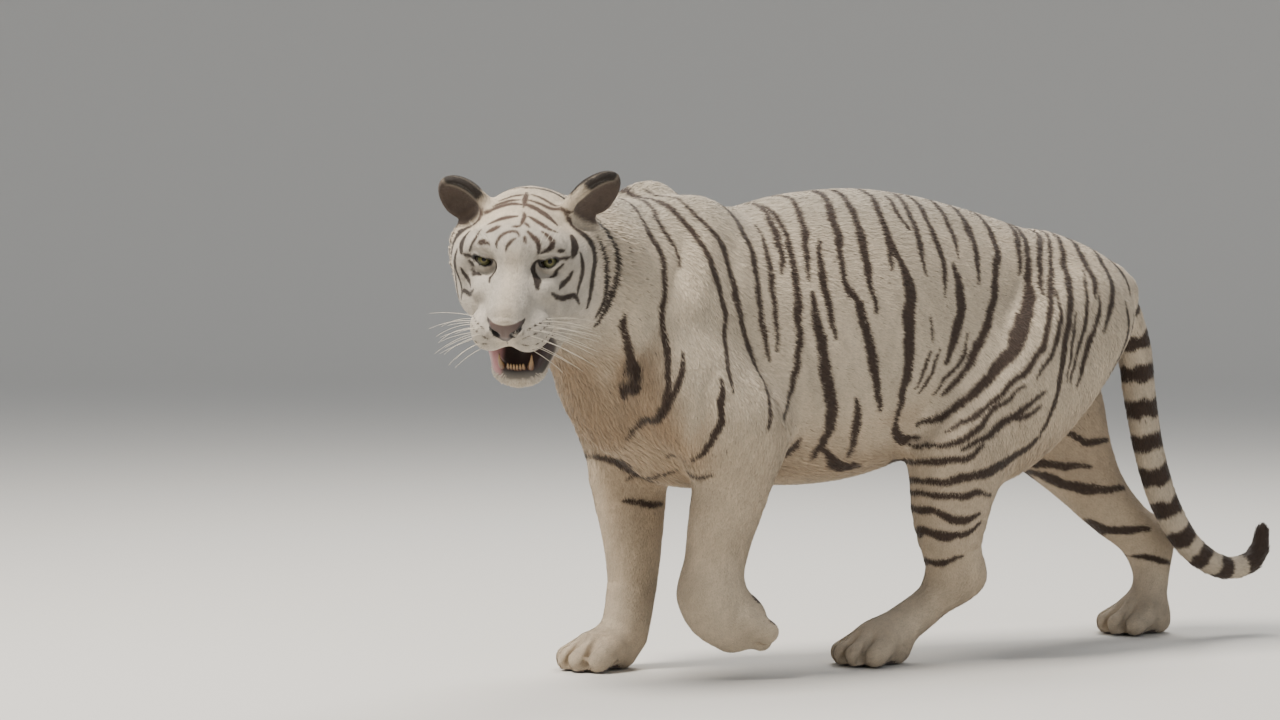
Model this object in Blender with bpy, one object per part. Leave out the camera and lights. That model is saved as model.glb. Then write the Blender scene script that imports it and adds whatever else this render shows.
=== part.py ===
"""A white tiger, life size, walking with its left forepaw lifted and its head turned to its left.

Frame: metres, +Z up. The tiger faces -Y and its left is +X. The floor is z = 0, and the origin is on the
floor under the middle of the model. The solids reach to the tips of the coat.

The body is modelled whole as a distance field: bones, muscles and a barrel-shaped trunk, each a signed
distance (negative inside), joined by a smooth minimum. The zero surface becomes one mesh, which is thinned
by Decimate and then parted into named pieces by thin Boolean cuts.
"""

import math

import bmesh
import bpy
import numpy as np
from mathutils import Matrix, Vector

# ---------------------------------------------------------------- driving dimensions
# FRAME_SHIFT moves the working frame so that the origin is under the middle of the model.
FRAME_SHIFT = np.array((-0.012, -0.084, 0.0))
FAR = 0.20  # distance given to points that no mass reaches
BODY_BLEND = 0.05  # how widely one mass of the body flows into the next
NET_STEP = 0.007  # grid spacing of the net before it is thinned
BODY_TRIANGLES = 4200  # triangles left by the thinning
CUT_GAP = 0.0008  # width of the thin cuts that part the body
FIT_GAP = 0.0004  # clearance round an eye, the tongue and a tooth
TRUNK_CORNER = 2.2  # power of the trunk's section: 2 is an ellipse, more is squarer
TRUNK_TAPER = 0.10  # how much narrower the trunk is at the back than at half height
TRUNK_DEEPEST = -0.12  # the trunk's distance is held at this, so that its middle stays smooth

HEAD_AT = np.array((0.165, -0.862, 0.833))  # the point midway between the eyes
HEAD_TURN = math.radians(48)  # to its left, from straight ahead
HEAD_PITCH = math.radians(25)  # nose down, from the palate level
HEAD_ROLL = math.radians(2)
JAW_HINGE = np.array((0.0, 0.100, -0.060))  # in the head's frame
JAW_OPEN = math.radians(20)
EYE_AT = np.array((0.064, 0.000, 0.0))
EYE_RADIUS = 0.018
EAR_ROOT = np.array((0.104, 0.110, 0.050))

COLOURS = {  # base colour (linear) and roughness of each kind of node
    "coat": ((0.62, 0.55, 0.45), 0.85),
    "paw": ((0.68, 0.62, 0.54), 0.85),
    "ear": ((0.30, 0.25, 0.21), 0.85),
    "eye": ((0.12, 0.13, 0.06), 0.10),
    "tongue": ((0.42, 0.20, 0.16), 0.50),
    "tooth": ((0.60, 0.46, 0.28), 0.35),
}


# ---------------------------------------------------------------- distances
def length(v):
    return np.sqrt(np.einsum("ij,ij->i", v, v))


def unit(v):
    v = np.asarray(v, float)
    return v / np.linalg.norm(v)


def smooth_min(a, b, blend):
    """The smaller of two distances, with a fillet about a quarter of blend deep where they are equal."""
    share = np.maximum(blend - np.abs(a - b), 0) / blend
    return np.minimum(a, b) - share * share * blend / 4


class Mass:
    """One mass: its distance function, a box that holds it, and how widely it blends. A cut takes away."""

    def __init__(self, distance, low, high, blend=BODY_BLEND, cut=False):
        self.distance, self.blend, self.cut = distance, blend, cut
        self.low, self.high = np.asarray(low, float), np.asarray(high, float)

    def merged(self, value, points):
        d = self.distance(points)
        if self.cut:
            return -smooth_min(-value, d, self.blend)
        return smooth_min(value, d, self.blend)


def bone(start, end, start_radius, end_radius, side=(1, 0, 0), wide=1.0, blend=BODY_BLEND, cut=False):
    """A capsule that tapers from start to end. Its section is an ellipse, wide times as wide along side."""
    a, b = np.asarray(start, float), np.asarray(end, float)
    along = b - a
    s = np.asarray(side, float) - along * (np.dot(side, along) / np.dot(along, along))
    s = unit(s)

    def distance(p):
        t = np.clip((p - a) @ along / (along @ along), 0, 1)
        off = p - a - t[:, None] * along
        across = off @ s
        stretched = off + np.outer(across * (1 / wide - 1), s)
        twice = off + np.outer(across * (1 / wide**2 - 1), s)
        reach = length(stretched)
        radius = start_radius + (end_radius - start_radius) * t
        return reach * (reach - radius) / np.maximum(length(twice), 1e-6)

    reach = max(start_radius, end_radius) * max(wide, 1)
    return Mass(distance, np.minimum(a, b) - reach, np.maximum(a, b) + reach, blend, cut)


def muscle(start, end, thick, side=(1, 0, 0), wide=1.0, blend=BODY_BLEND, cut=False):
    """A spindle: an ellipsoid from start to end, thick in radius, and wide times that along side."""
    a, b = np.asarray(start, float), np.asarray(end, float)
    middle, axis = (a + b) / 2, unit(b - a)
    s = np.asarray(side, float) - axis * np.dot(side, axis)
    s = unit(s)
    axes = np.array((axis, s, np.cross(axis, s)))
    radii = np.array((np.linalg.norm(b - a) / 2, thick * wide, thick))

    def distance(p):
        q = (p - middle) @ axes.T / radii
        near = length(q)
        return near * (near - 1) / np.maximum(length(q / radii), 1e-6)

    reach = np.sqrt(((axes * radii[:, None]) ** 2).sum(0))
    return Mass(distance, middle - reach, middle + reach, blend, cut)


def ball(middle, radii, blend=BODY_BLEND, cut=False):
    """An ellipsoid with its axes along the frame's."""
    x, y, z = middle
    rx, ry, rz = radii
    return muscle((x, y - ry, z), (x, y + ry, z), rz, wide=rx / rz, blend=blend, cut=cut)


def through(places, values, at):
    """A smooth curve through a few values (cubic Hermite, with the slopes that the neighbours give)."""
    places, values = np.asarray(places, float), np.asarray(values, float)
    slopes = np.gradient(values, places)
    i = np.clip(np.searchsorted(places, at) - 1, 0, len(places) - 2)
    width = places[i + 1] - places[i]
    t = np.clip((at - places[i]) / width, 0, 1)
    a, b = values[i], values[i + 1]
    p, q = slopes[i] * width, slopes[i + 1] * width
    return a + t * (p + t * (3 * (b - a) - 2 * p - q + t * (p + q - 2 * (b - a))))


def curve(knots, count):
    """count points along a smooth curve through a few knots, evenly spaced in the knots' own steps."""
    knots = np.asarray(knots, float)
    steps = np.linalg.norm(np.diff(knots, axis=0), axis=1)
    places = np.concatenate(([0], np.cumsum(steps)))
    at = np.linspace(0, places[-1], count)
    return np.stack([through(places, knots[:, k], at) for k in range(knots.shape[1])], axis=1)


def limb(knots, count=9, side=(1, 0, 0), wide=1.0, blend=BODY_BLEND):
    """A chain of bones along a smooth curve. Each knot is x, y, z and radius."""
    line = curve(knots, count)
    pairs = list(zip(line[:-1], line[1:]))
    links = [bone(a[:3], b[:3], a[3], b[3], side, wide, blend) for a, b in pairs]

    def distance(p):
        found = links[0].distance(p)
        for link in links[1:]:
            found = np.minimum(found, link.distance(p))
        return found

    low = np.min([link.low for link in links], axis=0)
    high = np.max([link.high for link in links], axis=0)
    return Mass(distance, low, high, blend)


def group(masses, place, turn, blend=BODY_BLEND):
    """Masses in a frame of their own, put at place and turned."""
    place, turn = np.asarray(place, float), np.asarray(turn, float)
    low = np.min([m.low for m in masses], axis=0)
    high = np.max([m.high for m in masses], axis=0)
    corners = np.stack(np.meshgrid(*zip(low, high)), axis=-1).reshape(-1, 3)
    placed = corners @ turn.T + place

    def distance(p):
        return field((p - place) @ turn, masses)

    return Mass(distance, placed.min(0), placed.max(0), blend)


def field(points, masses):
    """The joined distance at each point. A mass is worked out only near its own box."""
    value = np.full(len(points), FAR)
    for mass in masses:
        reach = mass.blend + 0.004
        near = np.all((points > mass.low - reach) & (points < mass.high + reach), axis=1)
        if near.any():
            value[near] = mass.merged(value[near], points[near])
    return value


def turned(yaw, pitch=0.0, roll=0.0):
    """Turns a frame that faces -Y: yaw to its left, then nose down by pitch, then roll."""
    m = Matrix.Rotation(yaw, 3, "Z") @ Matrix.Rotation(pitch, 3, "X") @ Matrix.Rotation(roll, 3, "Y")
    return np.array(m)


def both_sides(make):
    """The masses that make(side) gives, for side +1 (left) and -1 (right)."""
    return [mass for side in (1, -1) for mass in make(side)]


# ---------------------------------------------------------------- trunk, neck and tail
def trunk():
    """The barrel: at each y, an egg-shaped section between the back's line and the belly's line."""
    y = (-0.56, -0.46, -0.30, -0.13, 0.03, 0.17, 0.31, 0.45, 0.58, 0.68)
    back = (0.86, 0.935, 0.930, 0.962, 0.972, 0.957, 0.927, 0.888, 0.845, 0.79)
    belly = (0.460, 0.400, 0.372, 0.372, 0.395, 0.432, 0.480, 0.530, 0.590, 0.65)
    half = (0.125, 0.165, 0.195, 0.212, 0.214, 0.190, 0.168, 0.158, 0.140, 0.10)

    def distance(p):
        top, bottom, wide = (through(y, row, p[:, 1]) for row in (back, belly, half))
        tall = (top - bottom) / 2
        up = (p[:, 2] - (top + bottom) / 2) / tall
        width = wide * (1 - TRUNK_TAPER * np.clip(up, -1, 1))
        out = p[:, 0] / width
        shape = (np.abs(out) ** TRUNK_CORNER + np.abs(up) ** TRUNK_CORNER) ** (1 / TRUNK_CORNER)
        radial = np.hypot(p[:, 0], up * tall)
        inside = radial * (1 - 1 / np.maximum(shape, 1e-3))
        past = np.maximum(y[0] - p[:, 1], p[:, 1] - y[-1])
        return np.maximum(np.maximum(inside, TRUNK_DEEPEST), past)

    return Mass(distance, (-0.23, y[0], 0.36), (0.23, y[-1], 0.99))


def torso():
    masses = [
        trunk(),
        muscle((0, -0.64, 0.60), (0, -0.36, 0.52), 0.115, wide=1.15),  # breast
        muscle((0, -0.60, 0.80), (0, -0.30, 0.86), 0.085, wide=0.8),  # withers
        ball((0, 0.55, 0.71), (0.155, 0.150, 0.130)),  # pelvis
        ball((0, 0.690, 0.650), (0.034, 0.034, 0.038), blend=0.02),  # scrotum
        bone((0, 0.50, 0.80), (0, 0.70, 0.745), 0.07, 0.055, wide=1.3),  # croup
        muscle((0, -0.22, 0.445), (0, 0.12, 0.47), 0.072, wide=1.9, blend=0.07),  # loose skin of the belly
        muscle((0, -0.50, 0.46), (0, -0.22, 0.45), 0.080, wide=1.0),  # brisket
    ]
    return masses


def neck():
    head = HEAD_AT + turned(HEAD_TURN, HEAD_PITCH) @ np.array((0, 0.135, -0.035))
    knots = [
        (0, -0.38, 0.74, 0.195),
        (0.01, -0.52, 0.775, 0.178),
        (0.05, -0.64, 0.80, 0.160),
        (*head, 0.112),
    ]
    throat = [
        (0, -0.50, 0.60, 0.13),
        (0.015, -0.575, 0.67, 0.118),
        (0.060, -0.632, 0.755, 0.098),
    ]
    return [limb(knots, 30, wide=0.86), limb(throat, 20, wide=1.05)]


def tail():
    knots = [
        (0, 0.60, 0.765, 0.060),
        (0, 0.70, 0.725, 0.054),
        (0, 0.755, 0.64, 0.044),
        (0, 0.778, 0.52, 0.040),
        (0, 0.805, 0.40, 0.037),
        (0, 0.855, 0.275, 0.034),
        (0, 0.940, 0.175, 0.031),
        (0, 1.035, 0.140, 0.028),
        (0, 1.105, 0.165, 0.026),
        (0, 1.118, 0.215, 0.020),
    ]
    return [limb(knots, 26, blend=0.02)]


# ---------------------------------------------------------------- paws and legs
def paw(long=1.0):
    """A paw in its own frame: toes towards -Y, the wrist or ankle above the origin. Its pads reach 3 mm
    under z = 0, where the floor then cuts them flat."""
    masses = [
        ball((0, 0.0, 0.042), (0.056, 0.062 * long, 0.044), blend=0.02),
        ball((0, 0.028, 0.022), (0.043, 0.036, 0.026), blend=0.015),
        ball((0, -0.030, 0.020), (0.052, 0.036, 0.020), blend=0.015),
    ]
    for x, y in ((-0.051, -0.030), (-0.018, -0.052), (0.018, -0.052), (0.051, -0.030)):
        knuckle, tip = (x * 0.85, y + 0.02, 0.048), (x * 1.05, y - 0.022, 0.0235)
        masses.append(bone(knuckle, tip, 0.025, 0.026, blend=0.014))
    return masses


def right_fore():
    foot = turned(math.radians(4))
    return [
        # shoulder blade, upper arm, forearm and wrist, paw
        muscle((-0.055, -0.40, 0.985), (-0.15, -0.53, 0.56), 0.075, side=(0, 1, 0.1), wide=1.75),
        muscle((-0.15, -0.54, 0.66), (-0.15, -0.33, 0.43), 0.085, side=(0, 1, 0), wide=1.3),
        limb(
            [
                (-0.140, -0.42, 0.50, 0.090),
                (-0.135, -0.425, 0.40, 0.080),
                (-0.125, -0.422, 0.28, 0.062),
                (-0.120, -0.425, 0.16, 0.049),
                (-0.118, -0.445, 0.07, 0.046),
            ],
            side=(0, 1, 0),
            wide=1.12,
        ),
        group(paw(), (-0.118, -0.492, 0), foot, blend=0.03),
    ]


def left_fore():
    hand = turned(math.radians(6), math.radians(126))
    return [
        muscle((0.06, -0.36, 0.945), (0.165, -0.55, 0.55), 0.075, side=(0, 1, 0.1), wide=1.75),
        muscle((0.165, -0.56, 0.64), (0.165, -0.28, 0.43), 0.088, side=(0, 1, 0.3), wide=1.35),
        limb(
            [
                (0.165, -0.350, 0.50, 0.092),
                (0.160, -0.365, 0.40, 0.078),
                (0.152, -0.395, 0.27, 0.062),
                (0.150, -0.415, 0.17, 0.052),
            ],
            side=(0, 1, 0),
            wide=1.12,
        ),
        limb([(0.150, -0.415, 0.17, 0.052), (0.150, -0.405, 0.125, 0.050), (0.150, -0.365, 0.095, 0.045)]),
        group(paw(), (0.150, -0.330, 0.150), hand, blend=0.03),
        ball((0.150, -0.335, 0.125), (0.046, 0.042, 0.042), blend=0.03),  # wrist pad
    ]


def left_hind():
    foot = turned(math.radians(4))
    return [
        muscle((0.09, 0.62, 0.74), (0.155, 0.12, 0.40), 0.100, side=(0, 0.6, 0.8), wide=1.6),  # thigh
        muscle((0.09, 0.66, 0.70), (0.14, 0.24, 0.37), 0.068, side=(0, 0.7, 0.7), wide=1.35),  # hamstrings
        limb(
            [
                (0.150, 0.185, 0.42, 0.090),
                (0.140, 0.180, 0.32, 0.078),
                (0.125, 0.194, 0.22, 0.056),
                (0.115, 0.215, 0.175, 0.046),
            ],
            side=(0, 1, 0),
            wide=1.15,
        ),
        limb([(0.115, 0.225, 0.175, 0.046), (0.108, 0.13, 0.105, 0.041), (0.10, 0.04, 0.052, 0.043)]),
        group(paw(1.1), (0.10, 0.03, 0), foot, blend=0.03),
    ]


def right_hind():
    foot = turned(math.radians(-4))
    return [
        muscle((-0.09, 0.60, 0.76), (-0.15, 0.48, 0.42), 0.100, side=(0, 1, 0.4), wide=1.45),
        muscle((-0.09, 0.59, 0.74), (-0.132, 0.765, 0.31), 0.058, side=(0, 1, 0), wide=1.3),
        limb(
            [
                (-0.145, 0.56, 0.475, 0.082),
                (-0.135, 0.700, 0.370, 0.072),
                (-0.120, 0.812, 0.258, 0.055),
                (-0.112, 0.890, 0.198, 0.045),
            ],
            side=(0, 1, 0.5),
            wide=1.12,
        ),
        limb([(-0.112, 0.90, 0.195, 0.044), (-0.105, 0.895, 0.12, 0.040), (-0.100, 0.875, 0.05, 0.042)]),
        group(paw(), (-0.10, 0.865, 0), foot, blend=0.03),
    ]


# ---------------------------------------------------------------- head
def face():
    """The head's masses in its own frame: origin midway between the eyes, -Y forward, +X its left."""
    def pair(s):
        return [
            ball((s * 0.058, 0.018, 0.026), (0.038, 0.036, 0.022), blend=0.025),  # brow
            ball((s * 0.088, 0.060, -0.022), (0.052, 0.075, 0.058), blend=0.03),  # cheek bone
            ball((s * 0.074, 0.040, -0.088), (0.046, 0.076, 0.050), blend=0.03),  # chewing muscle
            ball((s * 0.056, -0.012, -0.048), (0.034, 0.060, 0.036), blend=0.02),  # under the eye
            ball((s * 0.106, 0.110, -0.042), (0.054, 0.060, 0.092), blend=0.03),  # ruff
            ball((s * 0.094, 0.085, -0.100), (0.046, 0.066, 0.066), blend=0.03),  # ruff under the jaw
            ball((s * 0.036, -0.100, -0.100), (0.041, 0.050, 0.040), blend=0.012),  # whisker pad
            bone((s * 0.044, -0.075, -0.100), (s * 0.062, 0.030, -0.092), 0.037, 0.034, blend=0.02),  # lip
        ]

    return [
        ball((0, 0.100, -0.004), (0.108, 0.120, 0.082), blend=0.03),  # skull
        ball((0, 0.036, 0.010), (0.080, 0.078, 0.056), blend=0.03),  # forehead
        bone((0, 0.020, -0.018), (0, -0.112, -0.062), 0.049, 0.036, wide=1.10, blend=0.025),  # bridge
        bone((0, -0.010, -0.064), (0, -0.088, -0.088), 0.060, 0.048, wide=1.08, blend=0.03),  # muzzle
        *both_sides(pair),
        ball((0, -0.132, -0.074), (0.033, 0.022, 0.026), blend=0.012),  # nose
    ]


def mouth():
    """The open mouth's hollow, between the palate and the tongue's bed."""
    return [
        muscle((0, -0.175, -0.180), (0, 0.030, -0.126), 0.025, wide=1.9, blend=0.008, cut=True),
    ]


def eyes():
    """The hollow that each eye lies in, the lids as a shell over the eyeball, and the slit between them."""
    def pair(s):
        x, y, z = s * EYE_AT[0], EYE_AT[1], EYE_AT[2]
        return [
            ball((x - s * 0.002, y - 0.024, z - 0.002), (0.024, 0.018, 0.014), blend=0.020, cut=True),
            ball((x, y, z), (EYE_RADIUS + 0.004,) * 3, blend=0.010),
            ball((x, y - 0.020, z), (0.0165, 0.020, 0.0100), blend=0.004, cut=True),
        ]

    return both_sides(pair)


def jaw():
    """The lower jaw, in the head's frame, turned open about its hinge."""
    swing = np.array(Matrix.Rotation(JAW_OPEN, 3, "X"))

    def pair(s):
        return [bone((s * 0.026, -0.180, -0.094), (s * 0.064, -0.060, -0.060), 0.025, 0.042, blend=0.02)]

    masses = [
        ball((0, -0.186, -0.104), (0.050, 0.034, 0.031), blend=0.02),  # chin, measured from the hinge
        *both_sides(pair),
        bone((0, -0.160, -0.104), (0, -0.020, -0.092), 0.026, 0.044, wide=1.7, blend=0.03),
    ]
    return [group(masses, JAW_HINGE, swing, blend=0.02)]


def ear(root, tip, faces):
    """An ear: a flattened ellipsoid from root to tip with the side that faces that way scooped out."""
    root, tip = np.asarray(root), np.asarray(tip)
    along = unit(tip - root)
    flat = unit(np.asarray(faces) - along * np.dot(faces, along))
    width = np.cross(along, flat)
    back, front = root - flat * 0.010, root + flat * 0.022
    return [
        muscle(back - along * 0.050, tip, 0.026, side=width, wide=1.80, blend=0.020),
        muscle(front - along * 0.012, tip + flat * 0.018 - along * 0.006, 0.022, width, 1.55, 0.006, True),
    ]


def ears():
    return [
        *ear(EAR_ROOT * (-1, 1, 1), (-0.166, 0.126, 0.106), (-0.40, -0.90, 0.10)),
        *ear(EAR_ROOT, (0.176, 0.148, 0.120), (0.78, -0.60, 0.10)),
    ]


def head():
    masses = [*face(), *jaw(), *mouth(), *eyes(), *ears()]
    return [group(masses, HEAD_AT, turned(HEAD_TURN, HEAD_PITCH, HEAD_ROLL), blend=0.04)]


def tiger():
    return [*torso(), *neck(), *tail(), *right_fore(), *left_fore(), *left_hind(), *right_hind(), *head()]


# ---------------------------------------------------------------- mesh of a field
def field_grid(masses, low, high, step):
    """The field on a grid, mass by mass, each only where its box lies. Returns the values and the axes."""
    axes = [np.arange(a, b + step, step) for a, b in zip(low, high)]
    value = np.full([len(a) for a in axes], FAR)
    for mass in masses:
        reach = mass.blend + 2 * step
        span = [
            slice(np.searchsorted(a, mass.low[k] - reach), np.searchsorted(a, mass.high[k] + reach))
            for k, a in enumerate(axes)
        ]
        block = value[tuple(span)]
        if block.size:
            mesh = np.meshgrid(*(a[s] for a, s in zip(axes, span)), indexing="ij")
            points = np.stack(mesh, axis=-1).reshape(-1, 3)
            value[tuple(span)] = mass.merged(block.ravel(), points).reshape(block.shape)
    return value, axes


def surface_net(value, axes):
    """One point in each grid cell that the surface crosses, and a quad round each grid edge it crosses."""
    low = np.array([a[0] for a in axes])
    step = axes[0][1] - axes[0][0]
    inside = value < 0
    corners = [(i, j, k) for i in (0, 1) for j in (0, 1) for k in (0, 1)]
    shape = [n - 1 for n in value.shape]
    view = {c: tuple(slice(c[a], c[a] + shape[a]) for a in range(3)) for c in corners}
    count = sum(inside[view[c]].astype(np.int8) for c in corners)
    cells = np.argwhere((count > 0) & (count < 8))
    number = np.full(shape, -1, np.int64)
    number[tuple(cells.T)] = np.arange(len(cells))
    at = {c: value[tuple((cells + c).T)] for c in corners}
    total, hits = np.zeros((len(cells), 3)), np.zeros(len(cells))
    for c in corners:
        for axis in range(3):
            if c[axis]:
                continue
            d = tuple(1 if a == axis else c[a] for a in range(3))
            crossed = (at[c] < 0) != (at[d] < 0)
            gap = np.where(crossed, at[c] - at[d], 1)
            point = np.tile(np.array(c, float), (len(cells), 1))
            point[:, axis] += at[c] / gap
            total += point * crossed[:, None]
            hits += crossed
    points = low + step * (cells + total / hits[:, None])
    quads = []
    for axis in range(3):
        u, v = (axis + 1) % 3, (axis + 2) % 3
        first = tuple(slice(0, -1) if a == axis else slice(1, -1) for a in range(3))
        second = tuple(slice(1, None) if a == axis else slice(1, -1) for a in range(3))
        for flip in (False, True):
            here, there = (inside[second], inside[first]) if flip else (inside[first], inside[second])
            edge = np.argwhere(here & ~there)
            edge[:, u] += 1
            edge[:, v] += 1
            ring = []
            for du, dv in ((1, 1), (0, 1), (0, 0), (1, 0)):
                cell = edge.copy()
                cell[:, u] -= du
                cell[:, v] -= dv
                ring.append(number[tuple(cell.T)])
            quads.append(np.stack(ring[::-1] if flip else ring, axis=1))
    return points, np.concatenate(quads)


def net(masses, step, low=None, high=None):
    """The zero surface of the masses: points and quads. low and high give a smaller box than the whole."""
    low = np.min([m.low for m in masses], axis=0) - 3 * step if low is None else low
    high = np.max([m.high for m in masses], axis=0) + 3 * step if high is None else high
    return surface_net(*field_grid(masses, low, high, step))


# ---------------------------------------------------------------- objects, cuts and parts
def put(name, mesh):
    obj = bpy.data.objects.new(name, mesh)
    bpy.context.scene.collection.objects.link(obj)
    return obj


def evaluated(obj):
    """The object's mesh with its modifiers applied. The object itself is removed."""
    bpy.context.view_layer.update()
    mesh = bpy.data.meshes.new_from_object(obj.evaluated_get(bpy.context.evaluated_depsgraph_get()))
    bpy.data.objects.remove(obj)
    return mesh


def carved(mesh, cutters):
    """The mesh with each cutter's shape taken away in turn. The cutters are removed."""
    for cutter in cutters:
        work = put("work", mesh)
        cut = work.modifiers.new("cut", "BOOLEAN")
        cut.operation, cut.solver, cut.object = "DIFFERENCE", "EXACT", cutter
        mesh = evaluated(work)
        bpy.data.objects.remove(cutter)
    return mesh


def block(low, high):
    """A box between two corners."""
    low, high = Vector(low), Vector(high)
    place = Matrix.Translation((low + high) / 2) @ Matrix.Diagonal((*(high - low), 1))
    bm = bmesh.new()
    bmesh.ops.create_cube(bm, size=1.0, matrix=place)
    mesh = bpy.data.meshes.new("block")
    bm.to_mesh(mesh)
    bm.free()
    return put("block", mesh)


def slab(at, normal, wide, tall, side=(1, 0, 0)):
    """A plate CUT_GAP thick at a point, square to normal: wide along side, and tall the other way."""
    normal = unit(normal)
    side = unit(np.asarray(side, float) - normal * np.dot(side, normal))
    half = np.array((wide, tall, CUT_GAP)) / 2
    plate = block(-half, half)
    axes = np.column_stack((side, np.cross(normal, side), normal))
    turn = Matrix([(*row, p) for row, p in zip(axes, at)] + [(0, 0, 0, 1)])
    plate.data.transform(turn)
    plate["normal"] = normal.tolist()
    return plate


def in_head(point):
    return HEAD_AT + turned(HEAD_TURN, HEAD_PITCH, HEAD_ROLL) @ np.asarray(point, float)


def head_direction(vector):
    return turned(HEAD_TURN, HEAD_PITCH, HEAD_ROLL) @ np.asarray(vector, float)


def head_slab(at, normal, wide, tall, side=(1, 0, 0)):
    return slab(in_head(at), head_direction(normal), wide, tall, head_direction(side))


def partings():
    """Each parting: the piece it cuts, the plate, and the names on the plate's normal side and the other."""
    def pair(s, side):
        return [
            ("chest", slab((s * 0.062, -0.37, 0.68), (s, 0, -0.09), 1, 1), "shoulder_" + side, "chest"),
            ("hips", slab((s * 0.070, 0.44, 0.63), (s, 0, -0.25), 1, 1), "thigh_" + side, "hips"),
            ("head", ear_plate(s), "ear_" + side, "head"),
        ]

    def ear_plate(s):
        above_root = EAR_ROOT * (s, 1, 1) + (s * 0.014, 0.002, 0.014)
        return head_slab(above_root, (s * 0.66, -0.12, 0.72), 0.12, 0.13)

    return [
        ("body", slab((0, 0.774, 0.570), (0, 0.12, -0.99), 0.11, 0.12), "tail_root", "body"),
        ("tail_root", slab((0, 0.79, 0.46), (0, 0.22, -0.97), 1, 1), "tail_middle", "tail_root"),
        ("tail_middle", slab((0, 0.925, 0.19), (0, 0.62, -0.78), 0.16, 0.2), "tail_tip", "tail_middle"),
        ("body", slab((0, -0.565, 0.79), (0, -0.873, 0.488), 1, 0.60), "neck", "body"),
        ("neck", head_slab((0.05, 0.137, -0.088), (0, -0.24, 0.055), 0.60, 0.70), "head", "neck"),
        ("head", head_slab((0, -0.045, -0.148), (0, 0.254, -0.967), 0.60, 0.42), "jaw", "head"),
        ("body", slab((-0.155, -0.43, 0.400), (-0.43, 0, -0.90), 0.27, 0.32), "forearm_right", "body"),
        ("body", slab((0.165, -0.34, 0.400), (0.43, 0, -0.90), 0.27, 0.38), "forearm_left", "body"),
        ("forearm_right", slab((-0.12, -0.46, 0.100), (0, 0, -1), 1, 1), "forepaw_right", "forearm_right"),
        ("forearm_left", slab((0.15, -0.385, 0.115), (0, 0.8, -0.6), 1, 1), "forepaw_left", "forearm_left"),
        ("body", slab((0.14, 0.22, 0.370), (0, 0, -1), 0.27, 0.40), "shank_left", "body"),
        ("shank_left", slab((0.118, 0.205, 0.225), (0, 0, -1), 1, 1), "hind_foot_left", "shank_left"),
        ("body", slab((-0.14, 0.64, 0.420), (0, 0.45, -0.89), 0.28, 0.46), "shank_right", "body"),
        ("shank_right", slab((-0.118, 0.845, 0.225), (0, 0.8, -0.6), 1, 1), "hind_foot_right", "shank_right"),
        ("body", slab((0, -0.215, 0.68), (0, -0.974, -0.226), 1, 1), "chest", "body"),
        ("body", slab((0, 0.25, 0.665), (0, 0.885, -0.466), 1, 1), "hips", "barrel"),
        *pair(1, "left"),
        *pair(-1, "right"),
    ]


def egg(name, middle, radii, turn, grow=0.0):
    """An ellipsoid in the head's frame. grow enlarges every radius, for the cutter that makes its seat."""
    segments = 16 if max(radii) > 0.017 and min(radii) > 0.01 else 10
    bm = bmesh.new()
    bmesh.ops.create_uvsphere(bm, u_segments=segments, v_segments=segments // 2 + 1, radius=1.0)
    mesh = bpy.data.meshes.new(name)
    bm.to_mesh(mesh)
    bm.free()
    size = Matrix.Diagonal((*(r + grow for r in radii), 1))
    whole = turned(HEAD_TURN, HEAD_PITCH, HEAD_ROLL) @ turn
    place = Matrix([(*row, p) for row, p in zip(whole, in_head(middle))] + [(0, 0, 0, 1)])
    mesh.transform(place @ size)
    return put(name, mesh)


def in_jaw(point):
    """A point measured from the hinge with the mouth shut, in the head's frame."""
    return JAW_HINGE + np.array(Matrix.Rotation(JAW_OPEN, 3, "X")) @ np.asarray(point, float)


def small_parts():
    """Name, middle, radii and turn of each separate small solid of the head."""
    still, open_jaw = np.eye(3), np.array(Matrix.Rotation(JAW_OPEN, 3, "X"))
    tilt = open_jaw @ np.array(Matrix.Rotation(math.radians(-8), 3, "X"))
    return [
        ("eye_left", EYE_AT, (EYE_RADIUS,) * 3, still),
        ("eye_right", EYE_AT * (-1, 1, 1), (EYE_RADIUS,) * 3, still),
        ("tongue", in_jaw((0, -0.105, -0.064)), (0.028, 0.062, 0.014), open_jaw),
        ("canine_left", in_jaw((0.026, -0.193, -0.066)), (0.0065, 0.0075, 0.024), tilt),
        ("canine_right", in_jaw((-0.026, -0.193, -0.066)), (0.0065, 0.0075, 0.024), tilt),
        ("incisors", in_jaw((0, -0.203, -0.071)), (0.016, 0.004, 0.009), open_jaw),
    ]


def paint(obj, kind):
    colour, roughness = COLOURS[kind]
    material = bpy.data.materials.new(obj.name)
    material.use_nodes = True
    shader = material.node_tree.nodes["Principled BSDF"]
    shader.inputs["Base Color"].default_value = (*colour, 1)
    shader.inputs["Roughness"].default_value = roughness
    shader.inputs["Metallic"].default_value = 0.0
    obj.data.materials.clear()
    obj.data.materials.append(material)
    obj.data.shade_smooth()


def thinned_body():
    """The whole body as one closed mesh, thinned, with its soles cut flat at the floor."""
    points, quads = net(tiger(), NET_STEP)
    mesh = bpy.data.meshes.new("body")
    mesh.from_pydata(points.tolist(), [], quads.tolist())
    work = put("work", mesh)
    thin = work.modifiers.new("thin", "DECIMATE")
    thin.ratio = BODY_TRIANGLES / (2 * len(quads))
    return carved(evaluated(work), [block((-1, -2, -0.1), (1, 2, 0.0))])


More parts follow.
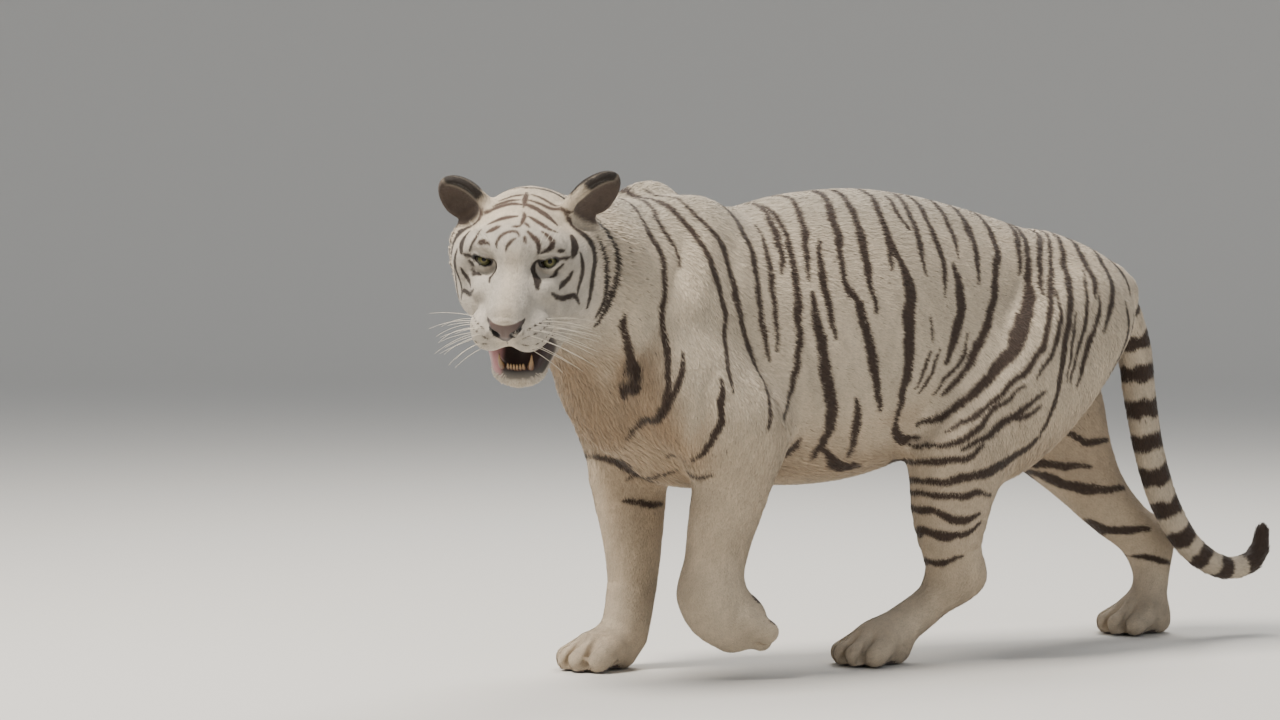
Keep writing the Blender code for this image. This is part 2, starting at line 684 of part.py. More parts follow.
def loose_parts(mesh):
    """The connected pieces of a mesh, each as a mesh of its own, the largest first."""
    bm = bmesh.new()
    bm.from_mesh(mesh)
    unseen, pieces = set(bm.faces), []
    while unseen:
        stack = [unseen.pop()]
        piece = set(stack)
        while stack:
            for edge in stack.pop().edges:
                for face in edge.link_faces:
                    if face in unseen:
                        unseen.remove(face)
                        piece.add(face)
                        stack.append(face)
        pieces.append({face.index for face in piece})
    bm.free()
    return [only_faces(mesh, piece) for piece in sorted(pieces, key=len, reverse=True)]


def only_faces(mesh, keep):
    bm = bmesh.new()
    bm.from_mesh(mesh)
    bmesh.ops.delete(bm, geom=[face for face in bm.faces if face.index not in keep], context="FACES")
    new = bpy.data.meshes.new("piece")
    bm.to_mesh(new)
    bm.free()
    return new


def middle_of(mesh):
    return np.mean([v.co for v in mesh.vertices], axis=0)


def parted(pieces, name, plate, over, under):
    """Cuts one piece with a plate. over is the name on the plate's normal side."""
    at = middle_of(plate.data)
    normal = np.array(plate["normal"])
    for half in loose_parts(carved(pieces.pop(name), [plate])):
        side = (middle_of(half) - at) @ normal
        pieces[over if side > 0 else under] = half


def kind_of(name):
    """What a node is made of, as COLOURS lists it."""
    for kind in ("eye", "tongue", "ear"):
        if name.startswith(kind):
            return kind
    if name.startswith(("canine", "incisor")):
        return "tooth"
    return "paw" if "paw" in name or "foot" in name else "coat"


def main():
    for obj in list(bpy.data.objects):
        bpy.data.objects.remove(obj)
    seats = [egg("seat", middle, radii, turn, FIT_GAP) for _, middle, radii, turn in small_parts()]
    pieces = {"body": carved(thinned_body(), seats)}
    for name, plate, over, under in partings():
        parted(pieces, name, plate, over, under)
    parts = [put(name, mesh) for name, mesh in pieces.items()]
    parts += [egg(name, middle, radii, turn) for name, middle, radii, turn in small_parts()]
    for obj in parts:
        obj.data.transform(Matrix.Translation(FRAME_SHIFT))
        paint(obj, kind_of(obj.name))


if __name__ == "__main__":
    main()
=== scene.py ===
# %% [markdown]
# # A white tiger, life size
# A still museum-type model of a grown white tiger, walking with its left forepaw lifted and its head turned
# to its left. On a real one there are three layers: flesh that gives the form, a thin skin, and a coat of
# short hair that lies flat along it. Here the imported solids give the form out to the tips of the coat. One
# skin is worked out from the same bones and muscles, a coat's depth inside them, and the coat is many small
# blades of mesh that are rooted on that skin.
#
# The frame is in metres, +Z up. The tiger faces -Y and its left is +X. The floor is z = 0.

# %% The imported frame
import math

import bmesh
import bpy
import numpy as np
from mathutils import Matrix, Vector


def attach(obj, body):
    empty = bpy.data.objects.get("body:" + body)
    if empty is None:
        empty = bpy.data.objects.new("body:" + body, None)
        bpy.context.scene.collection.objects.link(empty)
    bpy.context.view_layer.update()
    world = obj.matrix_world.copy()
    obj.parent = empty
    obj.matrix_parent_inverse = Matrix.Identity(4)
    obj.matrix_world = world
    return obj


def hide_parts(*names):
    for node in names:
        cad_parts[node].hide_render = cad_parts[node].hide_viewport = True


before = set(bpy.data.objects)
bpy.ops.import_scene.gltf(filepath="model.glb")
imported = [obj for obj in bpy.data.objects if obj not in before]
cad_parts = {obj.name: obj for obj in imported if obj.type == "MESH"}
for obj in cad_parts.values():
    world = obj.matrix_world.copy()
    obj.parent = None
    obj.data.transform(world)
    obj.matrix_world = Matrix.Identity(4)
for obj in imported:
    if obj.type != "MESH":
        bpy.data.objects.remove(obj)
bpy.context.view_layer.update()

# %% [markdown]
# ## The body as a distance field
# A body could be sculpted by hand or built from a cage with Subdivision Surface. A distance field suits an
# animal better here: each bone and muscle is one short formula for how far a point is outside it, and a
# smooth minimum makes neighbours flow into each other as flesh does. The skin is where that distance, plus
# the coat's depth, is zero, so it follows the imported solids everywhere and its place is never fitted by
# hand.

# %% Distances: bones, muscles and how they join
MM = 0.001
FAR = 0.20  # distance given to points that no mass reaches
BODY_BLEND = 0.05  # how widely one mass of the body flows into the next


def length(v):
    """The length of each row."""
    return np.sqrt(np.einsum("ij,ij->i", v, v))


def unit(v):
    """The same direction, one metre long. Works on one vector or on rows."""
    v = np.asarray(v, float)
    return v / np.maximum(np.linalg.norm(v, axis=-1, keepdims=True), 1e-9)


def onto_line(p, a, b):
    """The place nearest to each point on the line from a to b, from 0 to 1, and how far away it is."""
    t = np.clip((p - a) @ (b - a) / ((b - a) @ (b - a)), 0, 1)
    return t, length(p - a - t[:, None] * (b - a))


def without(v, n):
    """v laid flat on the surface: a unit vector, square to the normal n."""
    return unit(v - n * np.einsum("ij,ij->i", v, n)[:, None])


def smooth_min(a, b, blend):
    """The smaller of two distances, with a fillet about a quarter of blend deep where they are equal."""
    share = np.maximum(blend - np.abs(a - b), 0) / blend
    return np.minimum(a, b) - share * share * blend / 4


def ease(low, high, x):
    """0 below low and 1 above high, with a smooth S between them."""
    t = np.clip((x - low) / (high - low), 0, 1)
    return t * t * (3 - 2 * t)


class Mass:
    """One mass: its distance function, a box that holds it, and how widely it blends. A cut takes away."""

    def __init__(self, distance, low, high, blend=BODY_BLEND, cut=False):
        self.distance, self.blend, self.cut = distance, blend, cut
        self.low, self.high = np.asarray(low, float), np.asarray(high, float)

    def merged(self, value, points):
        d = self.distance(points)
        if self.cut:
            return -smooth_min(-value, d, self.blend)
        return smooth_min(value, d, self.blend)


def bone(start, end, start_radius, end_radius, side=(1, 0, 0), wide=1.0, blend=BODY_BLEND, cut=False):
    """A capsule that tapers from start to end. Its section is an ellipse, wide times as wide along side.
    Distance = how far the point is from the axis after side is shrunk by wide, less the radius there."""
    a, b = np.asarray(start, float), np.asarray(end, float)
    along = b - a
    s = unit(np.asarray(side, float) - along * (np.dot(side, along) / np.dot(along, along)))

    def distance(p):
        t = np.clip((p - a) @ along / (along @ along), 0, 1)
        off = p - a - t[:, None] * along
        across = off @ s
        stretched = off + np.outer(across * (1 / wide - 1), s)
        twice = off + np.outer(across * (1 / wide**2 - 1), s)
        reach = length(stretched)
        radius = start_radius + (end_radius - start_radius) * t
        return reach * (reach - radius) / np.maximum(length(twice), 1e-6)

    reach = max(start_radius, end_radius) * max(wide, 1)
    return Mass(distance, np.minimum(a, b) - reach, np.maximum(a, b) + reach, blend, cut)


def muscle(start, end, thick, side=(1, 0, 0), wide=1.0, blend=BODY_BLEND, cut=False):
    """A spindle: an ellipsoid from start to end, thick in radius, and wide times that along side.
    With q the point in units of the radii, distance = |q| (|q| - 1) / |q over the radii|."""
    a, b = np.asarray(start, float), np.asarray(end, float)
    middle, axis = (a + b) / 2, unit(b - a)
    s = unit(np.asarray(side, float) - axis * np.dot(side, axis))
    axes = np.array((axis, s, np.cross(axis, s)))
    radii = np.array((np.linalg.norm(b - a) / 2, thick * wide, thick))

    def distance(p):
        q = (p - middle) @ axes.T / radii
        near = length(q)
        return near * (near - 1) / np.maximum(length(q / radii), 1e-6)

    reach = np.sqrt(((axes * radii[:, None]) ** 2).sum(0))
    return Mass(distance, middle - reach, middle + reach, blend, cut)


def ball(middle, radii, blend=BODY_BLEND, cut=False):
    """An ellipsoid with its axes along the frame's."""
    x, y, z = middle
    rx, ry, rz = radii
    return muscle((x, y - ry, z), (x, y + ry, z), rz, wide=rx / rz, blend=blend, cut=cut)


# %% Curves, limbs and groups
def through(places, values, at):
    """A smooth curve through a few values (cubic Hermite, with the slopes that the neighbours give)."""
    places, values = np.asarray(places, float), np.asarray(values, float)
    slopes = np.gradient(values, places)
    i = np.clip(np.searchsorted(places, at) - 1, 0, len(places) - 2)
    width = places[i + 1] - places[i]
    t = np.clip((at - places[i]) / width, 0, 1)
    a, b = values[i], values[i + 1]
    p, q = slopes[i] * width, slopes[i + 1] * width
    return a + t * (p + t * (3 * (b - a) - 2 * p - q + t * (p + q - 2 * (b - a))))


def curve(knots, count):
    """count points along a smooth curve through a few knots, evenly spaced in the knots' own steps."""
    knots = np.asarray(knots, float)
    steps = np.linalg.norm(np.diff(knots[:, :3], axis=0), axis=1)
    places = np.concatenate(([0], np.cumsum(steps)))
    at = np.linspace(0, places[-1], count)
    return np.stack([through(places, knots[:, k], at) for k in range(knots.shape[1])], axis=1)


def limb(knots, count=9, side=(1, 0, 0), wide=1.0, blend=BODY_BLEND):
    """A chain of bones along a smooth curve. Each knot is x, y, z and radius."""
    line = curve(knots, count)
    links = [bone(a[:3], b[:3], a[3], b[3], side, wide, blend) for a, b in zip(line[:-1], line[1:])]

    def distance(p):
        found = links[0].distance(p)
        for link in links[1:]:
            found = np.minimum(found, link.distance(p))
        return found

    low = np.min([link.low for link in links], axis=0)
    high = np.max([link.high for link in links], axis=0)
    return Mass(distance, low, high, blend)


def field(points, masses):
    """The joined distance at each point. A mass is worked out only near its own box."""
    value = np.full(len(points), FAR)
    for mass in masses:
        reach = mass.blend + 0.004
        near = np.all((points > mass.low - reach) & (points < mass.high + reach), axis=1)
        if near.any():
            value[near] = mass.merged(value[near], points[near])
    return value


def group(masses, place, turn, blend=BODY_BLEND):
    """Masses in a frame of their own, put at place and turned."""
    place, turn = np.asarray(place, float), np.asarray(turn, float)
    low = np.min([m.low for m in masses], axis=0)
    high = np.max([m.high for m in masses], axis=0)
    corners = np.stack(np.meshgrid(*zip(low, high)), axis=-1).reshape(-1, 3)
    placed = corners @ turn.T + place

    def distance(p):
        return field((p - place) @ turn, masses)

    return Mass(distance, placed.min(0), placed.max(0), blend)


def turned(yaw, pitch=0.0, roll=0.0):
    """Turns a frame that faces -Y: yaw to its left, then nose down by pitch, then roll."""
    m = Matrix.Rotation(yaw, 3, "Z") @ Matrix.Rotation(pitch, 3, "X") @ Matrix.Rotation(roll, 3, "Y")
    return np.array(m)


def both_sides(make):
    """What make(side) gives, for side +1 (left) and -1 (right), in one list."""
    return [mass for side in (1, -1) for mass in make(side)]

# %% [markdown]
# ## Trunk, legs and tail
# A tiger's trunk is a deep barrel that tucks up at the flank, slung between shoulder blades that stand a
# little above the spine. The barrel is one formula with its back line, belly line and half width given at
# ten places. Legs are chains of tapering bones with a few spindle muscles over them. These are the same
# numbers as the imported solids, in the same working frame, which FRAME_SHIFT moves to the frame's own.

# %% Trunk, neck and tail
FRAME_SHIFT = np.array((-0.012, -0.084, 0.0))
HEAD_AT = np.array((0.165, -0.862, 0.833))  # the point midway between the eyes, in the working frame
HEAD = turned(math.radians(48), math.radians(25), math.radians(2))  # to its left, nose down, a little roll
JAW_HINGE = np.array((0.0, 0.100, -0.060))  # in the head's frame
JAW_SWING = np.array(Matrix.Rotation(math.radians(20), 3, "X"))
EYE_AT = np.array((0.064, 0.000, 0.0))
EYE_RADIUS = 0.018
EAR_ROOT = np.array((0.104, 0.110, 0.050))


def trunk():
    """The barrel: at each y, an egg-shaped section between the back's line and the belly's line, where
    |x / half width| and |z / half height|, each to the power 2.2, add up to 1."""
    y = (-0.56, -0.46, -0.30, -0.13, 0.03, 0.17, 0.31, 0.45, 0.58, 0.68)
    back = (0.86, 0.935, 0.930, 0.962, 0.972, 0.957, 0.927, 0.888, 0.845, 0.79)
    belly = (0.460, 0.400, 0.372, 0.372, 0.395, 0.432, 0.480, 0.530, 0.590, 0.65)
    half = (0.125, 0.165, 0.195, 0.212, 0.214, 0.190, 0.168, 0.158, 0.140, 0.10)

    def distance(p):
        top, bottom, wide = (through(y, row, p[:, 1]) for row in (back, belly, half))
        tall = (top - bottom) / 2
        up = (p[:, 2] - (top + bottom) / 2) / tall
        out = p[:, 0] / (wide * (1 - 0.10 * np.clip(up, -1, 1)))
        shape = (np.abs(out) ** 2.2 + np.abs(up) ** 2.2) ** (1 / 2.2)
        inside = np.hypot(p[:, 0], up * tall) * (1 - 1 / np.maximum(shape, 1e-3))
        past = np.maximum(y[0] - p[:, 1], p[:, 1] - y[-1])
        return np.maximum(np.maximum(inside, -0.12), past)

    return Mass(distance, (-0.23, y[0], 0.36), (0.23, y[-1], 0.99))


def torso():
    return [
        trunk(),
        muscle((0, -0.64, 0.60), (0, -0.36, 0.52), 0.115, wide=1.15),  # breast
        muscle((0, -0.60, 0.80), (0, -0.30, 0.86), 0.085, wide=0.8),  # withers
        ball((0, 0.55, 0.71), (0.155, 0.150, 0.130)),  # pelvis
        ball((0, 0.690, 0.650), (0.034, 0.034, 0.038), blend=0.02),  # scrotum
        bone((0, 0.50, 0.80), (0, 0.70, 0.745), 0.07, 0.055, wide=1.3),  # croup
        muscle((0, -0.22, 0.445), (0, 0.12, 0.47), 0.072, wide=1.9, blend=0.07),  # loose skin of the belly
        muscle((0, -0.50, 0.46), (0, -0.22, 0.45), 0.080, wide=1.0),  # brisket
    ]


NECK_LINE = [
    (0, -0.38, 0.74, 0.195),
    (0.01, -0.52, 0.775, 0.178),
    (0.05, -0.64, 0.80, 0.160),
    (*(HEAD_AT + HEAD @ np.array((0, 0.135, -0.035))), 0.112),
]
TAIL_LINE = [
    (0, 0.60, 0.765, 0.060),
    (0, 0.70, 0.725, 0.054),
    (0, 0.755, 0.64, 0.044),
    (0, 0.778, 0.52, 0.040),
    (0, 0.805, 0.40, 0.037),
    (0, 0.855, 0.275, 0.034),
    (0, 0.940, 0.175, 0.031),
    (0, 1.035, 0.140, 0.028),
    (0, 1.105, 0.165, 0.026),
    (0, 1.118, 0.215, 0.020),
]


def neck():
    throat = [(0, -0.50, 0.60, 0.13), (0.015, -0.575, 0.67, 0.118), (0.060, -0.632, 0.755, 0.098)]
    return [limb(NECK_LINE, 30, wide=0.86), limb(throat, 20, wide=1.05)]


def tail():
    return [limb(TAIL_LINE, 26, blend=0.02)]


# %% Paws and legs
TOES = ((-0.051, -0.030), (-0.018, -0.052), (0.018, -0.052), (0.051, -0.030))


def paw(long=1.0):
    """A paw in its own frame: toes towards -Y, the wrist or ankle above the origin, the pads at z = 0."""
    masses = [
        ball((0, 0.0, 0.042), (0.056, 0.062 * long, 0.044), blend=0.02),
        ball((0, 0.028, 0.022), (0.043, 0.036, 0.026), blend=0.015),
        ball((0, -0.030, 0.020), (0.052, 0.036, 0.020), blend=0.015),
    ]
    for x, y in TOES:
        knuckle, tip = (x * 0.85, y + 0.02, 0.048), (x * 1.05, y - 0.022, 0.0235)
        masses.append(bone(knuckle, tip, 0.025, 0.026, blend=0.014))
    for x, y in ((-0.036, -0.046), (0.0, -0.058), (0.036, -0.046)):  # the clefts between the toes
        cleft = (x * 0.9, y + 0.012, 0.078), (x * 1.1, y - 0.032, 0.016)
        masses.append(bone(*cleft, 0.0035, 0.006, blend=0.008, cut=True))
    return masses


RIGHT_FORE = [
    (-0.140, -0.42, 0.50, 0.090),
    (-0.135, -0.425, 0.40, 0.080),
    (-0.125, -0.422, 0.28, 0.062),
    (-0.120, -0.425, 0.16, 0.049),
    (-0.118, -0.445, 0.07, 0.046),
]
LEFT_FORE = [
    (0.165, -0.350, 0.50, 0.092),
    (0.160, -0.365, 0.40, 0.078),
    (0.152, -0.395, 0.27, 0.062),
    (0.150, -0.415, 0.17, 0.052),
]
LEFT_SHANK = [
    (0.150, 0.185, 0.42, 0.090),
    (0.140, 0.180, 0.32, 0.078),
    (0.125, 0.194, 0.22, 0.056),
    (0.115, 0.215, 0.175, 0.046),
]
RIGHT_SHANK = [
    (-0.145, 0.56, 0.475, 0.082),
    (-0.135, 0.700, 0.370, 0.072),
    (-0.120, 0.812, 0.258, 0.055),
    (-0.112, 0.890, 0.198, 0.045),
]
LEFT_WRIST = [(0.150, -0.415, 0.17, 0.052), (0.150, -0.405, 0.125, 0.050), (0.150, -0.365, 0.095, 0.045)]
LEFT_ANKLE = [(0.115, 0.225, 0.175, 0.046), (0.108, 0.13, 0.105, 0.041), (0.10, 0.04, 0.052, 0.043)]
RIGHT_ANKLE = [(-0.112, 0.90, 0.195, 0.044), (-0.105, 0.895, 0.12, 0.040), (-0.100, 0.875, 0.05, 0.042)]
# Where each paw is put, how it is turned and how long it is: right fore, left fore, left hind, right hind.
PAWS = [
    ((-0.118, -0.492, 0.0), turned(math.radians(4)), 1.0),
    ((0.150, -0.330, 0.150), turned(math.radians(6), math.radians(126)), 1.0),
    ((0.10, 0.03, 0.0), turned(math.radians(4)), 1.1),
    ((-0.10, 0.865, 0.0), turned(math.radians(-4)), 1.0),
]


def put_paw(number):
    place, turn, long = PAWS[number]
    return group(paw(long), place, turn, blend=0.03)


def right_fore():
    return [
        # shoulder blade, upper arm, forearm and wrist, paw
        muscle((-0.055, -0.40, 0.985), (-0.15, -0.53, 0.56), 0.075, side=(0, 1, 0.1), wide=1.75),
        muscle((-0.15, -0.54, 0.66), (-0.15, -0.33, 0.43), 0.085, side=(0, 1, 0), wide=1.3),
        limb(RIGHT_FORE, side=(0, 1, 0), wide=1.12),
        put_paw(0),
    ]


def left_fore():
    return [
        muscle((0.06, -0.36, 0.945), (0.165, -0.55, 0.55), 0.075, side=(0, 1, 0.1), wide=1.75),
        muscle((0.165, -0.56, 0.64), (0.165, -0.28, 0.43), 0.088, side=(0, 1, 0.3), wide=1.35),
        limb(LEFT_FORE, side=(0, 1, 0), wide=1.12),
        limb(LEFT_WRIST),
        put_paw(1),
        ball((0.150, -0.335, 0.125), (0.046, 0.042, 0.042), blend=0.03),  # wrist pad
    ]


def left_hind():
    return [
        muscle((0.09, 0.62, 0.74), (0.155, 0.12, 0.40), 0.100, side=(0, 0.6, 0.8), wide=1.6),  # thigh
        muscle((0.09, 0.66, 0.70), (0.14, 0.24, 0.37), 0.068, side=(0, 0.7, 0.7), wide=1.35),  # hamstrings
        limb(LEFT_SHANK, side=(0, 1, 0), wide=1.15),
        limb(LEFT_ANKLE),
        put_paw(2),
    ]


def right_hind():
    return [
        muscle((-0.09, 0.60, 0.76), (-0.15, 0.48, 0.42), 0.100, side=(0, 1, 0.4), wide=1.45),
        muscle((-0.09, 0.59, 0.74), (-0.132, 0.765, 0.31), 0.058, side=(0, 1, 0), wide=1.3),
        limb(RIGHT_SHANK, side=(0, 1, 0.5), wide=1.12),
        limb(RIGHT_ANKLE),
        put_paw(3),
    ]

# %% [markdown]
# ## The head
# A big cat's head is a short box: a domed skull, broad cheek bones, a deep straight bridge and a square
# muzzle with two whisker pads, framed by a ruff of long hair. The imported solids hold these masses. The skin
# repeats them and adds what flesh shows close up: two lids over each eyeball with a tear corner, brow and
# lid creases, the leather nose with its wings, nostrils and the groove below it, soft lips, and deeper ear
# cups.

# %% Face, mouth, jaw and ears
def face():
    """The head's masses in its own frame: origin midway between the eyes, -Y forward, +X its left."""
    def pair(s):
        return [
            ball((s * 0.058, 0.018, 0.026), (0.038, 0.036, 0.022), blend=0.025),  # brow
            ball((s * 0.088, 0.060, -0.022), (0.052, 0.075, 0.058), blend=0.03),  # cheek bone
            ball((s * 0.074, 0.040, -0.088), (0.046, 0.076, 0.050), blend=0.03),  # chewing muscle
            ball((s * 0.056, -0.012, -0.048), (0.034, 0.060, 0.036), blend=0.02),  # under the eye
            ball((s * 0.106, 0.110, -0.042), (0.054, 0.060, 0.092), blend=0.03),  # ruff
            ball((s * 0.094, 0.085, -0.100), (0.046, 0.066, 0.066), blend=0.03),  # ruff under the jaw
            ball((s * 0.036, -0.100, -0.100), (0.041, 0.050, 0.040), blend=0.012),  # whisker pad
            bone((s * 0.044, -0.075, -0.100), (s * 0.062, 0.030, -0.092), 0.037, 0.034, blend=0.02),  # lip
        ]

    return [
        ball((0, 0.100, -0.004), (0.108, 0.120, 0.082), blend=0.03),  # skull
        ball((0, 0.036, 0.010), (0.080, 0.078, 0.056), blend=0.03),  # forehead
        bone((0, 0.020, -0.018), (0, -0.112, -0.062), 0.049, 0.036, wide=1.10, blend=0.025),  # bridge
        bone((0, -0.010, -0.064), (0, -0.088, -0.088), 0.060, 0.048, wide=1.08, blend=0.03),  # muzzle
        *both_sides(pair),
        ball((0, -0.132, -0.074), (0.033, 0.022, 0.026), blend=0.012),  # nose
    ]


def nostrils(s):
    """One nostril: a round opening in front and a slit that sweeps out and up over the wing."""
    return [
        muscle((s * 0.008, -0.161, -0.089), (s * 0.024, -0.141, -0.077), 0.0048, (0, 0, 1), 1.1, 0.003, True),
        bone((s * 0.021, -0.152, -0.079), (s * 0.038, -0.136, -0.067), 0.0032, 0.0012, blend=0.003, cut=True),
    ]


def nose_and_lips():
    """Wings, nostrils and groove of the nose, and the fold between each whisker pad and the cheek."""
    def pair(s):
        return [
            ball((s * 0.0235, -0.143, -0.083), (0.012, 0.012, 0.010), blend=0.008),  # wing
            *nostrils(s),
            bone((s * 0.079, -0.060, -0.070), (s * 0.074, -0.050, -0.130), 0.004, 0.004,
                 blend=0.018, cut=True),
        ]

    return [
        *both_sides(pair),
        bone((0, -0.157, -0.066), (0, -0.153, -0.098), 0.0012, 0.0016, blend=0.004, cut=True),
        bone((0, -0.153, -0.098), (0, -0.148, -0.140), 0.0024, 0.0040, blend=0.009, cut=True),
    ]


def mouth():
    """The open mouth's hollow, between the palate and the tongue's bed."""
    return [muscle((0, -0.175, -0.180), (0, 0.030, -0.126), 0.025, wide=1.9, blend=0.008, cut=True)]


def slit(s):
    """The opening between the lids: an almond that rises to its outer corner, and the tear corner."""
    x, y, z = EYE_AT * (s, 1, 1)
    return [
        muscle((x - s * 0.0165, y - 0.0190, z - 0.0010), (x + s * 0.0165, y - 0.0105, z + 0.0085), 0.0070,
               side=(0, 1, 0), wide=2.3, blend=0.0025, cut=True),
        bone((x - s * 0.0135, y - 0.0200, z - 0.0005), (x - s * 0.0245, y - 0.0245, z - 0.0090),
             0.0028, 0.0010, blend=0.003, cut=True),
    ]


def eyes():
    """The hollow that each eye lies in, the lids as a shell over the eyeball, and the slit between them,
    with a crease over the upper lid and a pouch under the lower."""
    def pair(s):
        x, y, z = EYE_AT * (s, 1, 1)
        return [
            ball((x - s * 0.002, y - 0.024, z - 0.002), (0.024, 0.018, 0.014), blend=0.020, cut=True),
            ball((x, y, z), (EYE_RADIUS + 0.0034,) * 3, blend=0.012),
            muscle((x - s * 0.020, y - 0.0215, z + 0.0125), (x + s * 0.022, y - 0.0125, z + 0.0195), 0.0052,
                   wide=1.0, side=(0, 1, 0), blend=0.008),  # fold of the upper lid
            bone((x - s * 0.015, y - 0.0235, z + 0.0175), (x + s * 0.021, y - 0.0130, z + 0.0235),
                 0.0010, 0.0010, blend=0.005, cut=True),
            bone((x - s * 0.012, y - 0.0240, z - 0.0175), (x + s * 0.017, y - 0.0160, z - 0.0125),
                 0.0010, 0.0010, blend=0.006, cut=True),
            *slit(s),
        ]

    return both_sides(pair)


def jaw():
    """The lower jaw, in the head's frame, turned open about its hinge, with the lip's rim along its edge."""
    def pair(s):
        return [
            bone((s * 0.026, -0.180, -0.094), (s * 0.064, -0.060, -0.060), 0.025, 0.042, blend=0.02),
            bone((s * 0.040, -0.186, -0.080), (s * 0.056, -0.120, -0.062), 0.007, 0.008, blend=0.010),
        ]

    masses = [
        ball((0, -0.186, -0.104), (0.050, 0.034, 0.031), blend=0.02),  # chin, measured from the hinge
        *both_sides(pair),
        bone((0, -0.160, -0.104), (0, -0.020, -0.092), 0.026, 0.044, wide=1.7, blend=0.03),
    ]
    return [group(masses, JAW_HINGE, JAW_SWING, blend=0.02)]


# Each ear: its root, its tip, and the way its cup faces.
EARS = [
    (EAR_ROOT * (-1, 1, 1), np.array((-0.166, 0.126, 0.106)), np.array((-0.40, -0.90, 0.10))),
    (EAR_ROOT, np.array((0.176, 0.148, 0.120)), np.array((0.78, -0.60, 0.10))),
]


def ear(root, tip, faces):
    """An ear: a flattened ellipsoid from root to tip with the side that faces that way scooped out."""
    along = unit(tip - root)
    flat = unit(faces - along * np.dot(faces, along))
    width = np.cross(along, flat)
    back, front = root - flat * 0.010, root + flat * 0.020
    return [
        muscle(back - along * 0.050, tip, 0.026, side=width, wide=1.80, blend=0.020),
        muscle(front - along * 0.014, tip + flat * 0.020 - along * 0.013, 0.0255, width, 1.50, 0.006, True),
    ]


def head():
    ears = [mass for one in EARS for mass in ear(*one)]
    masses = [*face(), *nose_and_lips(), *jaw(), *mouth(), *eyes(), *ears]
    return [group(masses, HEAD_AT, HEAD, blend=0.04)]


# %% [markdown]
# ## How deep the coat is
# A tiger's winter coat is long and its summer coat short: about a centimetre deep on the body, a few
# millimetres on the face and feet, longer in the ruff, on the belly and along the tail. The skin lies
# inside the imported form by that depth, and by only 0.6 mm on the bare nose and eyelids.

# %% Regions and the coat's depth
REGIONS = {
    "trunk": torso(),
    "neck": neck(),
    "tail": tail(),
    "fore_right": right_fore(),
    "fore_left": left_fore(),
    "hind_left": left_hind(),
    "hind_right": right_hind(),
    "head": head(),
}
WHOLE = [mass for masses in REGIONS.values() for mass in masses]
BODY_DEPTH, LEG_DEPTH, RUFF_DEPTH, FACE_DEPTH = 0.007, 0.005, 0.010, 0.0035
PAW_DEPTH, EAR_DEPTH, BARE_DEPTH = 0.0025, 0.0012, 0.0006


def in_head(p):
    """Points in the head's own frame."""
    return (p - HEAD_AT) @ HEAD


def nearest(q, places):
    """How far each point is from the nearest of a few places."""
    return np.min([length(q - np.asarray(place, float)) for place in places], axis=0)


EAR_MIDDLES = [root * 0.35 + tip * 0.65 for root, tip, _ in EARS]


def headness(p):
    """1 on the head and ears and 0 on the body, changing over the back of the ruff."""
    q = in_head(p)
    return 1 - ease(0.19, 0.25, length(q - (0, 0.04, -0.04))) * ease(0.055, 0.075, nearest(q, EAR_MIDDLES))


def pawness(p):
    """1 on the paws and 0 above the wrists and ankles."""
    middles = [place + turn @ np.array((0, -0.01, 0.04)) for place, turn, _ in PAWS]
    return 1 - ease(0.09, 0.17, nearest(p, middles))


def bareness(p):
    """1 on the bare nose and round the lids, and 0 where hair grows."""
    q = in_head(p)
    lids = 1 - ease(0.020, 0.027, nearest(q * (1, 1, 1.15), [EYE_AT * (s, 1, 1.15) for s in (1, -1)]))
    nose = 1 - ease(0.85, 1.05, length((q - (0, -0.140, -0.078)) / (0.036, 0.030, 0.026)))
    return np.maximum(lids, nose)


def coat_depth(p):
    """How far the skin lies inside the coat's tips at each point."""
    q = in_head(p)
    leg = 1 - ease(0.30, 0.45, p[:, 2])
    body = BODY_DEPTH + (LEG_DEPTH - BODY_DEPTH) * leg
    depth = body + (PAW_DEPTH - body) * pawness(p)
    in_ruff = ease(0.02, 0.10, q[:, 1]) * (1 - ease(0.03, 0.07, q[:, 2]))
    on_head = FACE_DEPTH + (RUFF_DEPTH - FACE_DEPTH) * in_ruff
    on_head = on_head + (EAR_DEPTH - on_head) * (1 - ease(0.045, 0.065, nearest(q, EAR_MIDDLES)))
    on_head = on_head + (BARE_DEPTH - on_head) * bareness(p)
    return depth + (on_head - depth) * headness(p)


# Furrows and ridges under the skin: which side has it (0 both), depth in mm (a ridge is negative), half width
# in mm, then y, z, y, z ... in cm, seen from the side, in the working frame.
RELIEF = [
    (0, 7, 20, -35, 74, -33, 65, -30.5, 56, -28, 47),  # behind the shoulder and upper arm
    (0, 5, 16, -46, 64, -48, 55, -50, 46),  # between breast and upper arm
    (0, -5, 24, -39, 94, -44, 82, -49, 69),  # spine of the shoulder blade
    (0, 4, 18, -45, 90, -51, 79, -54, 70),  # in front of it
    (0, 4, 22, -34, 90, -38, 80, -41, 71),  # behind it
    (0, -5, 22, -36, 62, -33, 54, -31, 49),  # long head of the triceps
    (0, 5, 20, -64, 58, -58, 66, -55, 76),  # root of the neck
    (1, 8, 26, 38, 82, 29, 68, 22, 57, 17, 50),  # in front of the thigh
    (1, -8, 18, 22, 52, 13, 46, 3, 43),  # fold of the flank
    (1, 4, 20, 53, 74, 44, 60, 35, 47),  # between the thigh's two muscles
    (1, -4, 24, 48, 82, 36, 64, 27, 50),
    (-1, 6, 26, 42, 82, 40, 68, 38, 56),
    (-1, -5, 18, 36, 56, 26, 48, 12, 44),
    (-1, 4, 20, 56, 74, 60, 58, 66, 44),
    (0, 3, 16, 10, 90, 24, 88, 38, 84),  # edge of the loin
    (0, 4, 22, -6, 48, 4, 50, 13, 56),  # hollow of the flank
]


